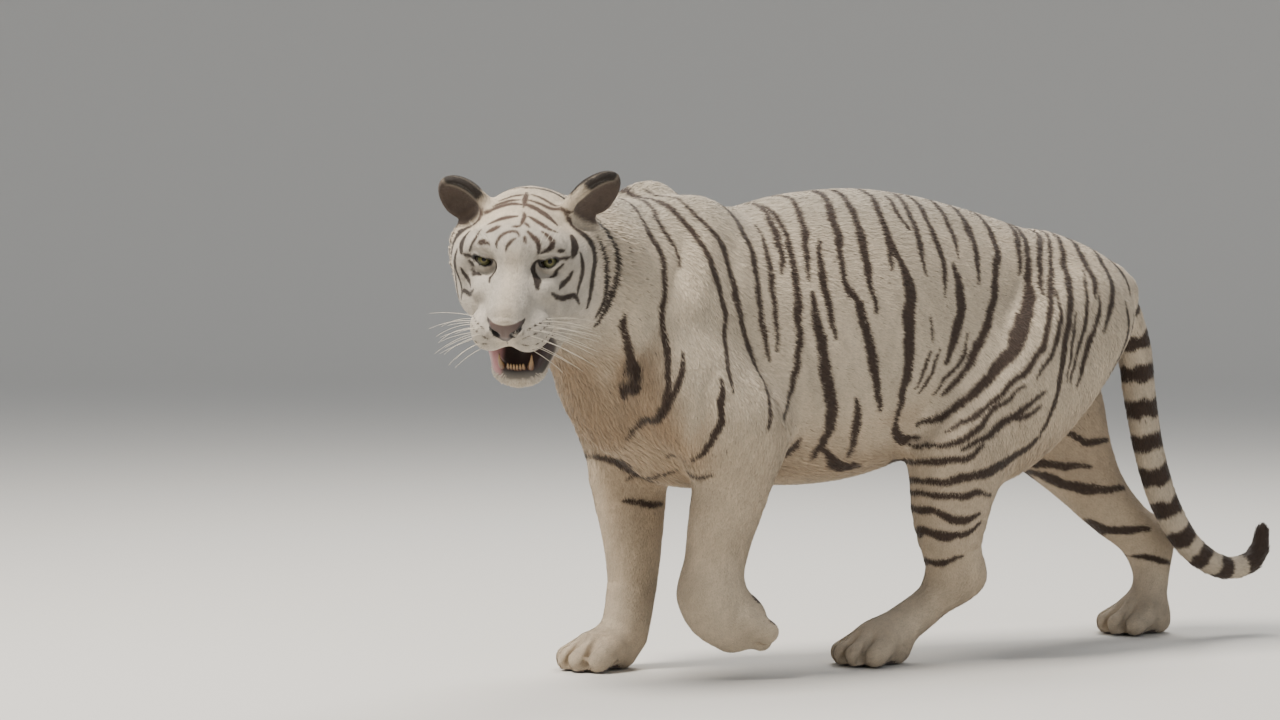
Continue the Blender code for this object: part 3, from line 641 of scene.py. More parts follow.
def furrowed(p):
    """How much further in the skin lies over furrows: depth x exp(-(distance / width)^2), fading at each end.
    Ribs are a shallow wave along the chest that leans back as it goes down."""
    total = np.zeros(len(p))
    for side, depth, wide, *places in RELIEF:
        line = curve(np.array(places).reshape(-1, 2) / 100, 7)
        reach = 2.4 * wide * MM
        near = np.all((p[:, 1:] > line.min(0) - reach) & (p[:, 1:] < line.max(0) + reach), axis=1)
        near &= (np.abs(p[:, 0]) > 0.03) & (side * p[:, 0] >= 0)
        if not near.any():
            continue
        some = p[near][:, 1:]
        best, along = np.full(len(some), 9.0), np.zeros(len(some))
        for k, (a, b) in enumerate(zip(line[:-1], line[1:])):
            t, gap = onto_line(some, a, b)
            closer = gap < best
            best[closer], along[closer] = gap[closer], (k + t[closer]) / 6
        ends = ease(0, 0.25, along) * ease(0, 0.25, 1 - along)
        total[near] += depth * MM * ends * np.exp(-((best / (wide * MM)) ** 2))
    chest = ease(-0.28, -0.20, p[:, 1]) * ease(-0.16, -0.06, -p[:, 1]) * ease(0.50, 0.58, p[:, 2])
    chest *= (1 - ease(0.72, 0.84, p[:, 2])) * ease(0.08, 0.14, np.abs(p[:, 0]))
    return total + 0.0012 * chest * np.sin((p[:, 1] + 0.35 * p[:, 2]) * math.tau / 0.052)


SOLE_LEVEL = 0.0012  # height of the bare soles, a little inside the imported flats


def skin_level(p):
    """Zero on the skin, negative inside it. The floor takes away what is under the soles."""
    return np.maximum(field(p, WHOLE) + coat_depth(p) + furrowed(p), SOLE_LEVEL - p[:, 2])


# %% [markdown]
# ## The skin's mesh
# A field becomes a mesh by marching through a grid. One grid fine enough for an eyelid would hold millions
# of cells, so the grid is coarse, one point per crossed cell, and the mesh is then made finer only where
# the form is: head, ears and paws once, face, ears and toes twice, lids, nose and lips three times. After
# each step every point slides along the field's slope onto the true surface, so no facet of the coarse grid
# is left.

# %% A net over the field
NET_STEP = 0.011


def field_grid(masses, low, high, step):
    """The field on a grid, mass by mass, each only where its box lies. Returns the values and the axes."""
    axes = [np.arange(a, b + step, step) for a, b in zip(low, high)]
    value = np.full([len(a) for a in axes], FAR)
    for mass in masses:
        reach = mass.blend + 2 * step
        span = tuple(
            slice(np.searchsorted(a, mass.low[k] - reach), np.searchsorted(a, mass.high[k] + reach))
            for k, a in enumerate(axes)
        )
        block = value[span]
        if block.size:
            mesh = np.meshgrid(*(a[s] for a, s in zip(axes, span)), indexing="ij")
            points = np.stack(mesh, axis=-1).reshape(-1, 3)
            value[span] = mass.merged(block.ravel(), points).reshape(block.shape)
    return value, axes


def surface_net(value, axes):
    """One point in each grid cell that the surface crosses, the mean of where it crosses the cell's edges,
    and a quad round each grid edge that it crosses."""
    low = np.array([a[0] for a in axes])
    step = axes[0][1] - axes[0][0]
    inside = value < 0
    corners = [(i, j, k) for i in (0, 1) for j in (0, 1) for k in (0, 1)]
    shape = [n - 1 for n in value.shape]
    view = {c: tuple(slice(c[a], c[a] + shape[a]) for a in range(3)) for c in corners}
    count = sum(inside[view[c]].astype(np.int8) for c in corners)
    cells = np.argwhere((count > 0) & (count < 8))
    number = np.full(shape, -1, np.int64)
    number[tuple(cells.T)] = np.arange(len(cells))
    at = {c: value[tuple((cells + c).T)] for c in corners}
    total, hits = np.zeros((len(cells), 3)), np.zeros(len(cells))
    for c in corners:
        for axis in range(3):
            if c[axis]:
                continue
            d = tuple(1 if a == axis else c[a] for a in range(3))
            crossed = (at[c] < 0) != (at[d] < 0)
            point = np.tile(np.array(c, float), (len(cells), 1))
            point[:, axis] += at[c] / np.where(crossed, at[c] - at[d], 1)
            total += point * crossed[:, None]
            hits += crossed
    points = low + step * (cells + total / hits[:, None])
    quads = []
    for axis in range(3):
        u, v = (axis + 1) % 3, (axis + 2) % 3
        first = tuple(slice(0, -1) if a == axis else slice(1, -1) for a in range(3))
        second = tuple(slice(1, None) if a == axis else slice(1, -1) for a in range(3))
        for flip in (False, True):
            here, there = (inside[second], inside[first]) if flip else (inside[first], inside[second])
            edge = np.argwhere(here & ~there)
            edge[:, u] += 1
            edge[:, v] += 1
            ring = []
            for du, dv in ((1, 1), (0, 1), (0, 0), (1, 0)):
                cell = edge.copy()
                cell[:, u] -= du
                cell[:, v] -= dv
                ring.append(number[tuple(cell.T)])
            quads.append(np.stack(ring[::-1] if flip else ring, axis=1))
    return points, np.concatenate(quads)


low = np.min([m.low for m in WHOLE], axis=0) - 3 * NET_STEP
high = np.max([m.high for m in WHOLE], axis=0) + 3 * NET_STEP
values, axes = field_grid(WHOLE, low, high, NET_STEP)
spots = np.stack(np.meshgrid(*axes, indexing="ij"), axis=-1).reshape(-1, 3)
close = np.flatnonzero(np.abs(values.ravel()) < 0.03)
levels = values.ravel().copy()
levels[close] += coat_depth(spots[close]) + furrowed(spots[close])
under = spots[:, 2] < SOLE_LEVEL
levels[under] = np.maximum(levels[under], SOLE_LEVEL - spots[under, 2])
net_points, net_quads = surface_net(levels.reshape(values.shape), axes)
print("coarse net", len(net_points), "points", len(net_quads), "quads")


# %% Finer where the form is, and settled onto the field
def slope(p, reach=0.0005):
    """The field's gradient, by central differences."""
    columns = []
    for k in range(3):
        step = np.zeros(3)
        step[k] = reach
        columns.append((skin_level(p + step) - skin_level(p - step)) / (2 * reach))
    return np.stack(columns, axis=1)


def settled(p, most):
    """Points moved onto the skin: twice along the slope, by level / |slope|, and never more than most."""
    for _ in range(2):
        g = slope(p)
        move = skin_level(p) / np.maximum(length(g), 0.3)
        p = p - unit(g) * np.clip(move, -most, most)[:, None]
    return p


def evened(p, edges, movable, strength=0.5):
    """Each point drawn towards the mean of its neighbours, which evens out the mesh before it settles."""
    total, count = np.zeros_like(p), np.zeros(len(p))
    for a, b in ((0, 1), (1, 0)):
        np.add.at(total, edges[:, a], p[edges[:, b]])
        np.add.at(count, edges[:, a], 1)
    mean = total / np.maximum(count, 1)[:, None]
    return p + (mean - p) * (strength * movable)[:, None]


def read(items, name, kind, width):
    """One attribute of all the items of a mesh, as rows of an array."""
    out = np.empty(len(items) * width, kind)
    items.foreach_get(name, out)
    return out.reshape(-1, width) if width > 1 else out


def finer(mesh, chosen):
    """The mesh with the faces where chosen(centre) is true cut in four, and settled onto the skin."""
    bm = bmesh.new()
    bm.from_mesh(mesh)
    centres = read(mesh.polygons, "center", np.float32, 3)
    picked = set(np.flatnonzero(chosen(centres.astype(float))).tolist())
    edges = {edge for face in bm.faces if face.index in picked for edge in face.edges}
    bmesh.ops.subdivide_edges(bm, edges=list(edges), cuts=1, use_grid_fill=True)
    bm.to_mesh(mesh)
    bm.free()
    p = read(mesh.vertices, "co", np.float32, 3).astype(float)
    e = read(mesh.edges, "vertices", np.int32, 2)
    near = chosen(p)
    step = np.median(length(p[e[:, 0]] - p[e[:, 1]])[near[e[:, 0]]])
    for _ in range(2):
        p = evened(p, e, near.astype(float))
        p[near] = settled(p[near], step)
    mesh.vertices.foreach_set("co", p.astype(np.float32).ravel())
    mesh.update()
    print("finer to", round(step * 1000, 1), "mm:", len(mesh.polygons), "faces")


def on_head(p):
    q = in_head(p)
    return (length(q - (0, 0.03, -0.03)) < 0.205) | (nearest(q, EAR_MIDDLES) < 0.070)


def on_face(p):
    q = in_head(p)
    return on_head(p) & ((q[:, 1] < -0.025) | (nearest(q, EAR_MIDDLES) < 0.065))


def on_features(p):
    q = in_head(p)
    lids = nearest(q, [EYE_AT * (s, 1, 1) + (0, -0.014, 0) for s in (1, -1)]) < 0.027
    nose = length((q - (0, -0.145, -0.085)) / (0.040, 0.034, 0.036)) < 1
    lips = length((q - (0, -0.090, -0.170)) / (0.056, 0.070, 0.044)) < 1
    return lids | nose | lips


def on_toes(p):
    return nearest(p, [place + turn @ np.array((0, -0.055, 0.03)) for place, turn, _ in PAWS]) < 0.048


skin_mesh = bpy.data.meshes.new("skin")
skin_mesh.from_pydata((settled(net_points, NET_STEP / 2)).tolist(), [], net_quads.tolist())
finer(skin_mesh, lambda p: on_head(p) | (pawness(p) > 0.15))
finer(skin_mesh, lambda p: on_face(p) | on_toes(p))
finer(skin_mesh, on_features)

# %% [markdown]
# ## What the skin knows
# A taxidermist reads three things off the skin at every point: which part of the body it is, which way the
# hair lies, and how long it is. Hair lies from the nose backwards, down the neck and legs and along the
# tail. These could be painted by hand; here they are worked out from the bones, as arrays over the skin's
# points.

# %% Regions and the lie of the coat
rng = np.random.default_rng(7)
skin_at = read(skin_mesh.vertices, "co", np.float32, 3).astype(float)
skin_out = read(skin_mesh.vertices, "normal", np.float32, 3).astype(float)
skin_edges = read(skin_mesh.edges, "vertices", np.int32, 2)
NAMES = list(REGIONS)
REGION_BLEND = 0.012  # how widely one region's hair turns into the next one's
apart = np.stack([field(skin_at, masses) for masses in REGIONS.values()], axis=1)
region = np.argmin(apart, axis=1)
share = np.exp(-(apart - apart.min(1, keepdims=True)) / REGION_BLEND)
share /= share.sum(1, keepdims=True)


def tangent(p, knots, count=40):
    """The direction of a smooth line where it is nearest to each point, and how far along it that is."""
    line = curve(np.asarray(knots)[:, :3], count)
    found, best, along = np.zeros_like(p), np.full(len(p), 9.0), np.zeros(len(p))
    run = np.concatenate(([0], np.cumsum(length(np.diff(line, axis=0)))))
    for a, b, start in zip(line[:-1], line[1:], run[:-1]):
        t, gap = onto_line(p, a, b)
        closer = gap < best
        found[closer], best[closer] = unit(b - a), gap[closer]
        along[closer] = start + t[closer] * np.linalg.norm(b - a)
    return found, along


def flow(p, n):
    """The way the hair lies in each region, one array for each, before it is laid on the skin."""
    side = np.abs(n[:, :1])
    front = ease(0.3, 0.9, -n[:, 1:2]) * (1 - ease(0.66, 0.80, p[:, 2:3]))
    back = np.array((0.0, 1.0, 0.0))
    down = np.array((0.0, 0.0, -1.0))
    q = in_head(p)
    radial = unit(q - (0, -0.155, -0.105)) @ HEAD.T
    sweep = down * 0.55 * ease(0.02, 0.10, q[:, 1:2])
    ears = sum(
        (unit(tip - root) @ HEAD.T) * (1.6 * (1 - ease(0.045, 0.065, length(q - (root + tip) / 2))))[:, None]
        for root, tip, _ in EARS
    )
    lids = sum(
        unit(q - EYE_AT * (s, 1, 1) + (0, 0.020, -0.005)) @ HEAD.T
        * (2.0 * (1 - ease(0.020, 0.036, length(q - EYE_AT * (s, 1, 1)))))[:, None]
        for s in (1, -1)
    )
    legs = {}
    for name, line, number, lean in (
        ("fore_right", RIGHT_FORE, 0, 0.25),
        ("fore_left", LEFT_FORE + LEFT_WRIST[1:], 1, 0.25),
        ("hind_left", LEFT_SHANK + LEFT_ANKLE[1:], 2, 0.5),
        ("hind_right", RIGHT_SHANK + RIGHT_ANKLE[1:], 3, 0.5),
    ):
        place, turn, _ = PAWS[number]
        along, _ = tangent(p, line + [(*(place + turn @ np.array((0, -0.06, 0.03))), 0)])
        high = ease(0.40, 0.55, p[:, 2:3])
        lean = lean + 1.2 * ease(0.78, 0.95, p[:, 2:3])
        legs[name] = along * (1 - high) + unit(down * (side + 0.15) + back * lean) * high
    return {
        "trunk": back + down * (0.40 * side + 1.3 * front),
        "neck": 0.5 * tangent(p, NECK_LINE[::-1])[0] + 0.9 * back + down * (0.45 * side + 0.5 * front),
        "tail": tangent(p, TAIL_LINE)[0],
        "head": radial + sweep + ears + lids,
        **legs,
    }


flows = flow(skin_at, skin_out)
lie = sum(unit(flows[name]) * share[:, k : k + 1] for k, name in enumerate(NAMES))
for _ in range(8):
    lie = evened(without(lie, skin_out), skin_edges, np.ones(len(lie)), 0.6)
lie = without(lie, skin_out)
print("regions", {name: int((region == k).sum()) for k, name in enumerate(NAMES)})

# %% [markdown]
# ## Length, fineness and ground colour
# On the live animal the hair is finest and shortest on the muzzle and feet, and longest in the ruff, on the
# throat and chest, under the belly, inside the ears and at the back of the legs. The ground is a creamy
# white, whiter on the face, greyer on the back, and stained warm on the chest and inside the legs.

# %% Masks over the skin, and what they set
def linear(code):
    """An sRGB hex colour as three linear numbers."""
    c = np.array([int(code[k : k + 2], 16) / 255 for k in (1, 3, 5)])
    return np.where(c <= 0.04045, c / 12.92, ((c + 0.055) / 1.055) ** 2.4)


def wave(p, size, seed):
    """A smooth noise from -1 to 1 with features about size across: six sine waves with mixed directions."""
    pick = np.random.default_rng(seed)
    ways = unit(pick.normal(size=(6, 3))) * (math.tau / size) * pick.uniform(0.6, 1.5, (6, 1))
    return np.sin(p @ ways.T + pick.uniform(0, math.tau, 6)).sum(1) / 3.2


def mixed(value, target, mask):
    """value moved towards target by mask."""
    mask = mask if np.ndim(value) == 1 else mask[:, None]
    return value + (np.asarray(target) - value) * mask


def ear_parts(q, n):
    """Masks for the ears, in the head's frame, from the places and the normals: the cup inside, its pale
    fringe towards the forehead, the dark back, the pale spot on it, and the dark rim above the fringe. The
    cup's dark brown is painted shade in the hollow, and on the right ear the fringe stops low and the rim's
    dark covers the rest of the front as painted shade."""
    cup, fringe, back, spot, rim = (np.zeros(len(q)) for _ in range(5))
    for root, tip, faces in EARS:
        along = unit(tip - root)
        flat = unit(faces - along * np.dot(faces, along))
        side = np.cross(along, flat)
        side = side * -np.sign(side[0] * root[0])  # towards the forehead
        at = q - root
        near = 1 - ease(0.068, 0.080, length(q - (root * 0.4 + tip * 0.6)))
        up, inward, open_side = at @ along, at @ side, n @ flat
        front = near * ease(-0.05, 0.25, open_side) * ease(-0.024, -0.008, up)
        hollow = 1 - ease(0.020, 0.032, inward + 0.25 * up)
        cup = np.maximum(cup, front * hollow)
        # The right ear's pale fringe stops low and the dark rim covers the rest of its front: painted shade
        # on that ear.
        pale_to = 0.052 if root[0] > 0 else 0.010
        fringe = np.maximum(fringe, front * (1 - hollow) * (1 - ease(pale_to - 0.018, pale_to, up)))
        rim = np.maximum(rim, front * (1 - hollow) * ease(pale_to - 0.018, pale_to, up))
        behind = near * ease(0.0, 0.020, up) * (1 - ease(0.0, 0.35, open_side))
        back = np.maximum(back, behind)
        spot = np.maximum(spot, behind * (1 - ease(0.011, 0.017, length(at - along * 0.036 + flat * 0.020))))
    return cup, fringe, back, spot, rim


def lid_edge(q):
    """1 on the bare dark rims of the lids and in the tear corners, in the head's frame."""
    gap = np.min([mass.distance(q) for s in (1, -1) for mass in slit(s)], axis=0)
    upper = ease(-0.004, 0.004, q[:, 2] - 0.004)
    return 1 - ease(0.0026 + 0.0016 * upper, 0.0042 + 0.0022 * upper, gap)


def nose_half(z):
    """Half the nose's bare width at a height: a V that is widest above and ends in the lip's groove."""
    return np.clip(0.0014 + 0.90 * (z + 0.104), 0.0014, 0.037)


def nose_leather(q):
    """1 on the nose's bare leather."""
    wide = np.abs(q[:, 0])
    low = ease(-0.0015, 0.0015, -0.0620 + 0.10 * wide - q[:, 2])
    return ease(-0.0012, 0.0012, nose_half(q[:, 2]) - wide) * low * ease(0.116, 0.122, -q[:, 1])


def pads(p, n):
    """1 on the bare pads under the toes and the heel of each paw, in the working frame."""
    found = np.zeros(len(p))
    for place, turn, long in PAWS:
        at, facing = (p - place) @ turn, -(n @ turn)[:, 2]
        toes = nearest(at * (1, 1, 0.5), [(x, y - 0.014, 0.006) for x, y in TOES]) - 0.019
        heel = length((at - (0, 0.004, 0.004)) * (0.62, 0.85, 0.5)) - 0.024
        found = np.maximum(found, (1 - ease(0, 0.004, np.minimum(toes, heel))) * ease(0.25, 0.55, facing))
    return found


def nostril_dark(q):
    """1 in the nostrils."""
    return 1 - ease(0.0004, 0.0022, np.min([m.distance(q) for s in (1, -1) for m in nostrils(s)], axis=0))


def inner_mouth(q):
    """1 inside the mouth, and on the lower jaw above the lip's rim, in the head's frame."""
    carved = 1 - ease(0.0012, 0.0035, mouth()[0].distance(q))
    j = (q - JAW_HINGE) @ JAW_SWING
    above = ease(-0.0830, -0.0780, j[:, 2]) * ease(0.140, 0.147, -q[:, 2]) * (1 - ease(-0.02, 0.0, q[:, 1]))
    return np.maximum(carved, above)


def lip_edge(q):
    """1 on the dark bare edge of both lips; the lower band runs on down the jaw as painted shade."""
    upper = 1 - ease(0.0035, 0.0065, mouth()[0].distance(q))
    j = (q - JAW_HINGE) @ JAW_SWING
    # The lower band reaches below the bare lip onto the jaw's hair: painted shade under the lip.
    lower = ease(-0.0990, -0.0930, j[:, 2]) * ease(0.140, 0.147, -q[:, 2])
    lower = lower * (1 - ease(-0.015, 0.010, q[:, 1]))
    return np.maximum(upper * (1 - ease(-0.01, 0.02, q[:, 1])), lower)


q = in_head(skin_at)
n_head = skin_out @ HEAD
is_head = headness(skin_at)
is_paw = pawness(skin_at)
low_leg = (1 - ease(0.30, 0.50, skin_at[:, 2])) * (1 - is_head) * (1 - share[:, NAMES.index("tail")])
is_tail = share[:, NAMES.index("tail")] * (1 - is_head)
is_muzzle = is_head * (1 - ease(-0.085, -0.030, q[:, 1]))
is_face = is_head * (1 - ease(0.02, 0.08, q[:, 1]))
is_ruff = is_head * ease(0.045, 0.10, q[:, 1]) * (1 - ease(-0.02, 0.045, q[:, 2]))
is_chin = is_head * (1 - ease(-0.175, -0.150, q[:, 2]))
is_belly = ease(0.25, 0.75, -skin_out[:, 2]) * ease(0.36, 0.40, skin_at[:, 2]) * (1 - is_head) * (1 - is_tail)
is_belly *= (1 - ease(0.62, 0.72, skin_at[:, 2]))
is_throat = ease(0.2, 0.8, -skin_out[:, 1]) * (1 - is_head) * ease(0.40, 0.50, skin_at[:, 2])
is_throat *= 1 - ease(-0.48, -0.40, skin_at[:, 1])
cup, fringe, ear_back, ear_spot, ear_rim_and_shade = (mask * is_head for mask in ear_parts(q, n_head))
near_eye = (1 - ease(0.021, 0.030, nearest(q, [EYE_AT * (s, 1, 1) for s in (1, -1)]))) * is_head
lid_mask, nose_mask, nostril_mask, mouth_mask, lip_mask = (
    mask(q) * is_head for mask in (lid_edge, nose_leather, nostril_dark, inner_mouth, lip_edge)
)

pad_mask = pads(skin_at, skin_out) * is_paw
is_crown = is_head * ease(0.02, 0.06, q[:, 2]) * (1 - ease(0.13, 0.17, q[:, 1]))
short_ear = np.max([ear_back, cup, ear_rim_and_shade], axis=0)
chin_only = is_chin * (1 - is_ruff)

# Length of the hair in mm: a general one, then what each region changes it to, later ones over earlier ones.
hair = np.full(len(skin_at), 13 * MM)
for size, mask in (
    (14, share[:, NAMES.index("neck")]), (9, low_leg), (6, is_paw), (14, is_tail),
    (20, np.maximum(is_belly, 0.7 * is_throat)), (9, is_head), (6, is_crown),
    (6, is_face * (1 - ease(0.02, 0.06, q[:, 2]))), (4.5, is_muzzle), (23, is_ruff), (11, chin_only),
    (4, short_ear), (10, fringe), (2.6, near_eye),
):
    hair = mixed(hair, size * MM, mask)
breadth = np.clip(hair * 0.10 + 0.65 * MM, 0.95 * MM, 2.5 * MM)  # width of a blade at its middle
lift = np.full(len(hair), 0.17)  # height of a blade's tip over the skin, as a share of its length
for value, mask in (
    (0.24, np.maximum(is_belly, is_throat)), (0.18, is_face), (0.11, is_crown), (0.27, is_ruff),
    (0.22, is_chin), (0.16, near_eye), (0.14, short_ear), (0.20, fringe),
):
    lift = mixed(lift, value, mask)

CREAM, WHITE, WARM, GREY = (linear(c) for c in ("#cdbea8", "#bdb6ab", "#937758", "#aea594"))
TAN, EAR_BROWN, EAR_DARK = linear("#b59d7e"), linear("#40302a"), linear("#29211b")
height = skin_at[:, 2]
inside = ease(0.1, 0.6, -skin_out[:, 0] * np.sign(skin_at[:, 0])) * (1 - ease(0.50, 0.62, height))
inside *= ease(0.18, 0.40, height)
white = 1 - ease(0.02, 0.10, q[:, 1] + 0.5 * np.maximum(q[:, 2], 0))
bridge = (1 - ease(0.004, 0.030, np.abs(q[:, 0]))) * ease(0.010, 0.05, -q[:, 1])
ground = np.tile(CREAM, (len(skin_at), 1))
for colour, mask in (
    (GREY, 0.7 * ease(0.84, 0.95, height) * (1 - is_head)),
    (TAN, 0.35 * (1 - ease(0.40, 0.62, height)) * (1 - is_head) * (1 - is_tail)),
    (WARM, 0.70 * is_throat * (1 - ease(0.62, 0.80, height))),
    (WARM, 0.40 * is_belly),
    (WARM, 0.32 * inside * (1 - is_head) * (1 - is_tail)),
    (CREAM, 0.6 * is_paw),
    (WHITE, 0.8 * is_head * white),
    (CREAM, 0.55 * is_head * bridge),
    # A warm stain deepened as painted shade: the ruff is warmer and darker where it faces down.
    (WARM, 0.50 * is_ruff * ease(0.0, 0.5, -n_head[:, 2])),
    # Painted shade: the chin's hair, under the jaw, is greyed and darkened.
    (GREY * 0.75, 0.45 * chin_only),
    # Painted shade: the ear cups are dark brown in their hollows, and the right ear's front is mostly dark
    # under its rim.
    (EAR_BROWN, 0.92 * cup),
    (CREAM, 0.9 * fringe),
    (EAR_DARK, np.maximum(ear_back, ear_rim_and_shade)),
    (CREAM, 0.8 * ear_spot),
):
    ground = mixed(ground, colour, mask)
ground *= (1 + 0.07 * wave(skin_at, 0.11, 1) + 0.06 * wave(skin_at, 0.035, 2))[:, None]
ground *= (1 + 0.05 * is_head * wave(skin_at, 0.012, 3))[:, None]
print("hair from", round(hair.min() * 1000, 1), "to", round(hair.max() * 1000, 1), "mm")

# %% [markdown]
# ## The stripes
# No two tigers share a pattern, but the plan is common: bars that run down from the spine, doubled and
# forked on the flank, sweeping forward over the thigh, rings on the tail, few marks on the shoulder and
# foreleg, and a fine arched pattern on the head. A wave texture would give zebra-like bands, so each stripe
# is drawn as a stroke: a smooth curve through a few places, in centimetres, with its own half width in
# millimetres, thin at both ends and a little wavy. A point is dark if it is closer to the curve than the
# width there.

# %% Strokes
# Body strokes: half width in mm, then y, z, y, z ... in cm, seen from the side, in the working frame.
SIDE_STROKES = [
    # neck and shoulder
    (5, -70, 91, -66.5, 88.5, -64, 86, -62.8, 83),
    (6.5, -67.5, 97, -66, 93, -63.6, 90, -61.6, 84, -62.3, 81, -63.6, 76, -61.8, 69, -60.2, 65.5, -59.3,
     61.5, -59, 56),
    (5.5, -57, 101, -55, 96, -55.5, 90, -53, 84, -53, 80, -54.2, 70, -54.2, 66, -55, 60.5, -55.6, 53),
    (4.5, -45, 103, -48, 98, -49.8, 94, -51.2, 90.3, -49.3, 84.5, -49, 81.3),
    (6, -52, 103, -50, 99.5, -46.3, 92, -44, 87, -42.6, 82, -41.3, 77.4, -40.2, 72.3, -41, 67, -42.2, 60,
     -42, 57),
    (6, -44, 96, -42.6, 91, -39.5, 87, -37.5, 78, -37, 74, -35.8, 69, -33.5, 64, -33.3, 58, -34.5, 50),
    (6, -51.6, 65, -52, 62.3, -54.4, 56.5, -55.2, 52.5, -56.2, 48),
    (6, -44.3, 59.5, -44.6, 55, -44.8, 52, -46.3, 47, -47.3, 44),
    (3.5, -47, 38.5, -45.5, 40, -44, 41.2),
    # flank
    (6.5, -36, 96, -33, 92.5, -32, 89, -31.2, 84.5, -31.4, 78, -31.2, 71.5, -29.8, 63),
    (5.5, -27, 89.5, -27, 87, -27.5, 82, -27.9, 77, -27.9, 71, -27.8, 65),
    (6, -22, 94, -23, 91, -23.5, 88, -24, 84.7, -25.3, 80),
    (7, -21.5, 93, -21.6, 88, -22, 83, -22.7, 77, -23.1, 70, -23.4, 65, -24.2, 60, -26, 55.5, -29.5, 51.5),
    (6, -14.5, 97, -15.8, 93.2, -17, 90, -18.8, 83.5, -19.6, 79),
    (7.5, -15, 86.5, -16, 83.4, -16.3, 79, -15.8, 71.5, -15, 67),
    (7.5, -6, 98, -8, 94.8, -9.7, 91.8, -10.6, 87, -11.7, 79, -11.2, 75.5),
    (10, -12, 79, -10.2, 75.8, -7.6, 67.4, -6.7, 63, -5.3, 58, -3.3, 52),
    (11.5, -19.3, 76, -19, 70, -18.2, 66, -17.6, 61, -15.3, 53, -14.9, 50, -16.5, 43),
    (8, -3, 98.5, -4.3, 93.5, -5.5, 85.3, -5.9, 80.5, -5.2, 72),
    (7, 4, 98, 2, 93.3, 0.8, 85, -0.4, 80.5),
    (5, 7, 95, 6, 91, 7.4, 88.3),
    (12, 1, 87, 3, 80, 3.7, 76, 2.6, 71, 2.5, 64, 2.2, 60, 1.5, 56, 1.5, 51),
    # loin
    (6.5, 12, 98, 9.5, 92, 9, 87, 8.5, 83.5, 8.8, 79.5),
    (7, 15, 98, 13.8, 91, 14, 84, 13.9, 79, 13, 75),
    (6, 21, 97, 19.5, 90, 19.2, 87, 18.9, 82.5),
    (11, 17, 81, 17.7, 77, 17.5, 73, 16.5, 69.5, 15, 66, 13, 61.5),
    (3, 8.7, 71, 9, 68.5, 8.8, 66),
    (4.5, 11, 64.6, 10, 61.7, 7.8, 57.7, 5.8, 55.6),
    (4, 8.5, 64.2, 7.3, 61.1, 4.8, 56.8),
    # haunch: bars that sweep forward over the thigh
    (7.5, 26, 97, 24.7, 91, 24.5, 84.5, 24, 81.5, 22.9, 77.5),
    (8, 32, 96, 31, 90, 30.7, 84.5, 28.8, 80, 26, 72, 24.3, 69, 21.5, 65, 19, 61.5, 16, 58, 12.5, 55),
    (4.5, 19, 67, 18.5, 64, 17, 62, 14.5, 59.5, 12, 57, 10.5, 55),
    (6, 42.5, 91.5, 39.8, 89, 37.3, 85, 36.3, 82.6, 35.3, 79),
    (9.5, 42, 90, 39.5, 85, 37.8, 80, 36.4, 75, 33.8, 70.8, 29.5, 64.7, 25.2, 60.8, 21.1, 57, 16.4, 53.6,
     12.3, 50.7, 8, 49),
    (4, 32.4, 71, 31, 68.8, 29.3, 66.5, 27.5, 64),
    (6.5, 47, 90, 46.1, 86.8, 42.5, 83, 40.7, 79, 39, 75),
    (6, 50.5, 88.5, 47.8, 85.8, 45.5, 82.4, 43.2, 78.8, 40.6, 74.7, 38.5, 70.8, 36.5, 66.6, 34.4, 63.4, 30.9,
     59.8, 26.1, 56.5, 22.3, 53.2, 17.3, 50.2, 12, 47.7),
    (5, 42.2, 76, 41.5, 71.7, 39.6, 66.3, 36.9, 62.2, 33, 58),
    (7, 54, 88.5, 50.8, 85.8, 48.9, 82.4, 47, 78.3, 45.3, 74.6, 43.9, 70.6, 41.8, 66, 40, 57.5, 39.5, 53.7,
     36, 46.5),
    (4, 46, 71, 44.4, 67.3, 43.8, 64.3, 42.5, 57),
    (7, 58, 88, 54.8, 84.8, 53.8, 81.6, 53.6, 78.5, 52.3, 74),
    (5.5, 53.8, 75, 52.9, 71, 51.7, 68.5, 48.9, 64.3, 45.5, 56),
    (5, 52, 79.5, 50, 74.8, 49.5, 72.6, 47.8, 67.4, 45, 61, 43.6, 57),
    (7.5, 62, 86, 60.5, 83, 59.5, 80.8, 59.4, 77.9, 57.6, 73.5, 54, 67),
    (5, 60, 86.5, 62, 84.5, 63, 83),
    (6, 65, 84, 65.8, 81, 67, 77, 67, 74),
    (5, 62.5, 73, 63.5, 68, 62, 62, 58, 57),
    (4.5, 66.5, 70, 66, 64, 64, 60),
    # belly
    (8, -21, 47, -23, 44, -25, 41),
    (8, -9.8, 55, -9, 51.5, -8.4, 48, -8.2, 43),
    (9, -15, 45, -9, 41, -4, 41),
    (9, 1.5, 51, 2.5, 48, 5, 46, 8, 46.5),
]
LEFT_STROKES = [  # thigh and shank of the left hind leg, set forward
    (5.5, 30, 56.4, 27.1, 54.7, 23.3, 52.1, 18.9, 48.9, 14.5, 46, 11, 44.8, 5, 45),
    (7, 36, 55.2, 32.6, 53.3, 27.5, 50.2, 22.8, 47.7, 19.8, 46.2, 14.5, 44.4),
    (5, 35.5, 52.3, 33, 51, 30, 50, 27, 49.6),
    (6.5, 19.5, 44.6, 16.2, 42.8, 11.5, 41.6, 5.5, 41.5),
    (8.5, 36, 45.5, 31.2, 42.6, 24.7, 40.4, 20.7, 39.2, 14.9, 38.1, 10.9, 37.4, 6.5, 37.8),
    (6.5, 23, 34.3, 18.4, 35.2, 15, 34.4, 11, 34.7, 7.5, 35.2),
    (7, 7, 32, 11, 31.2, 14, 29.8, 17, 29.6, 20, 30.5),
    (7, 6.5, 28.5, 9.5, 27.6, 12.5, 26.4, 16, 26.2, 21, 28.5),
    (6, 9, 21.8, 12, 20.8, 15, 20.6, 18, 21.8),
]
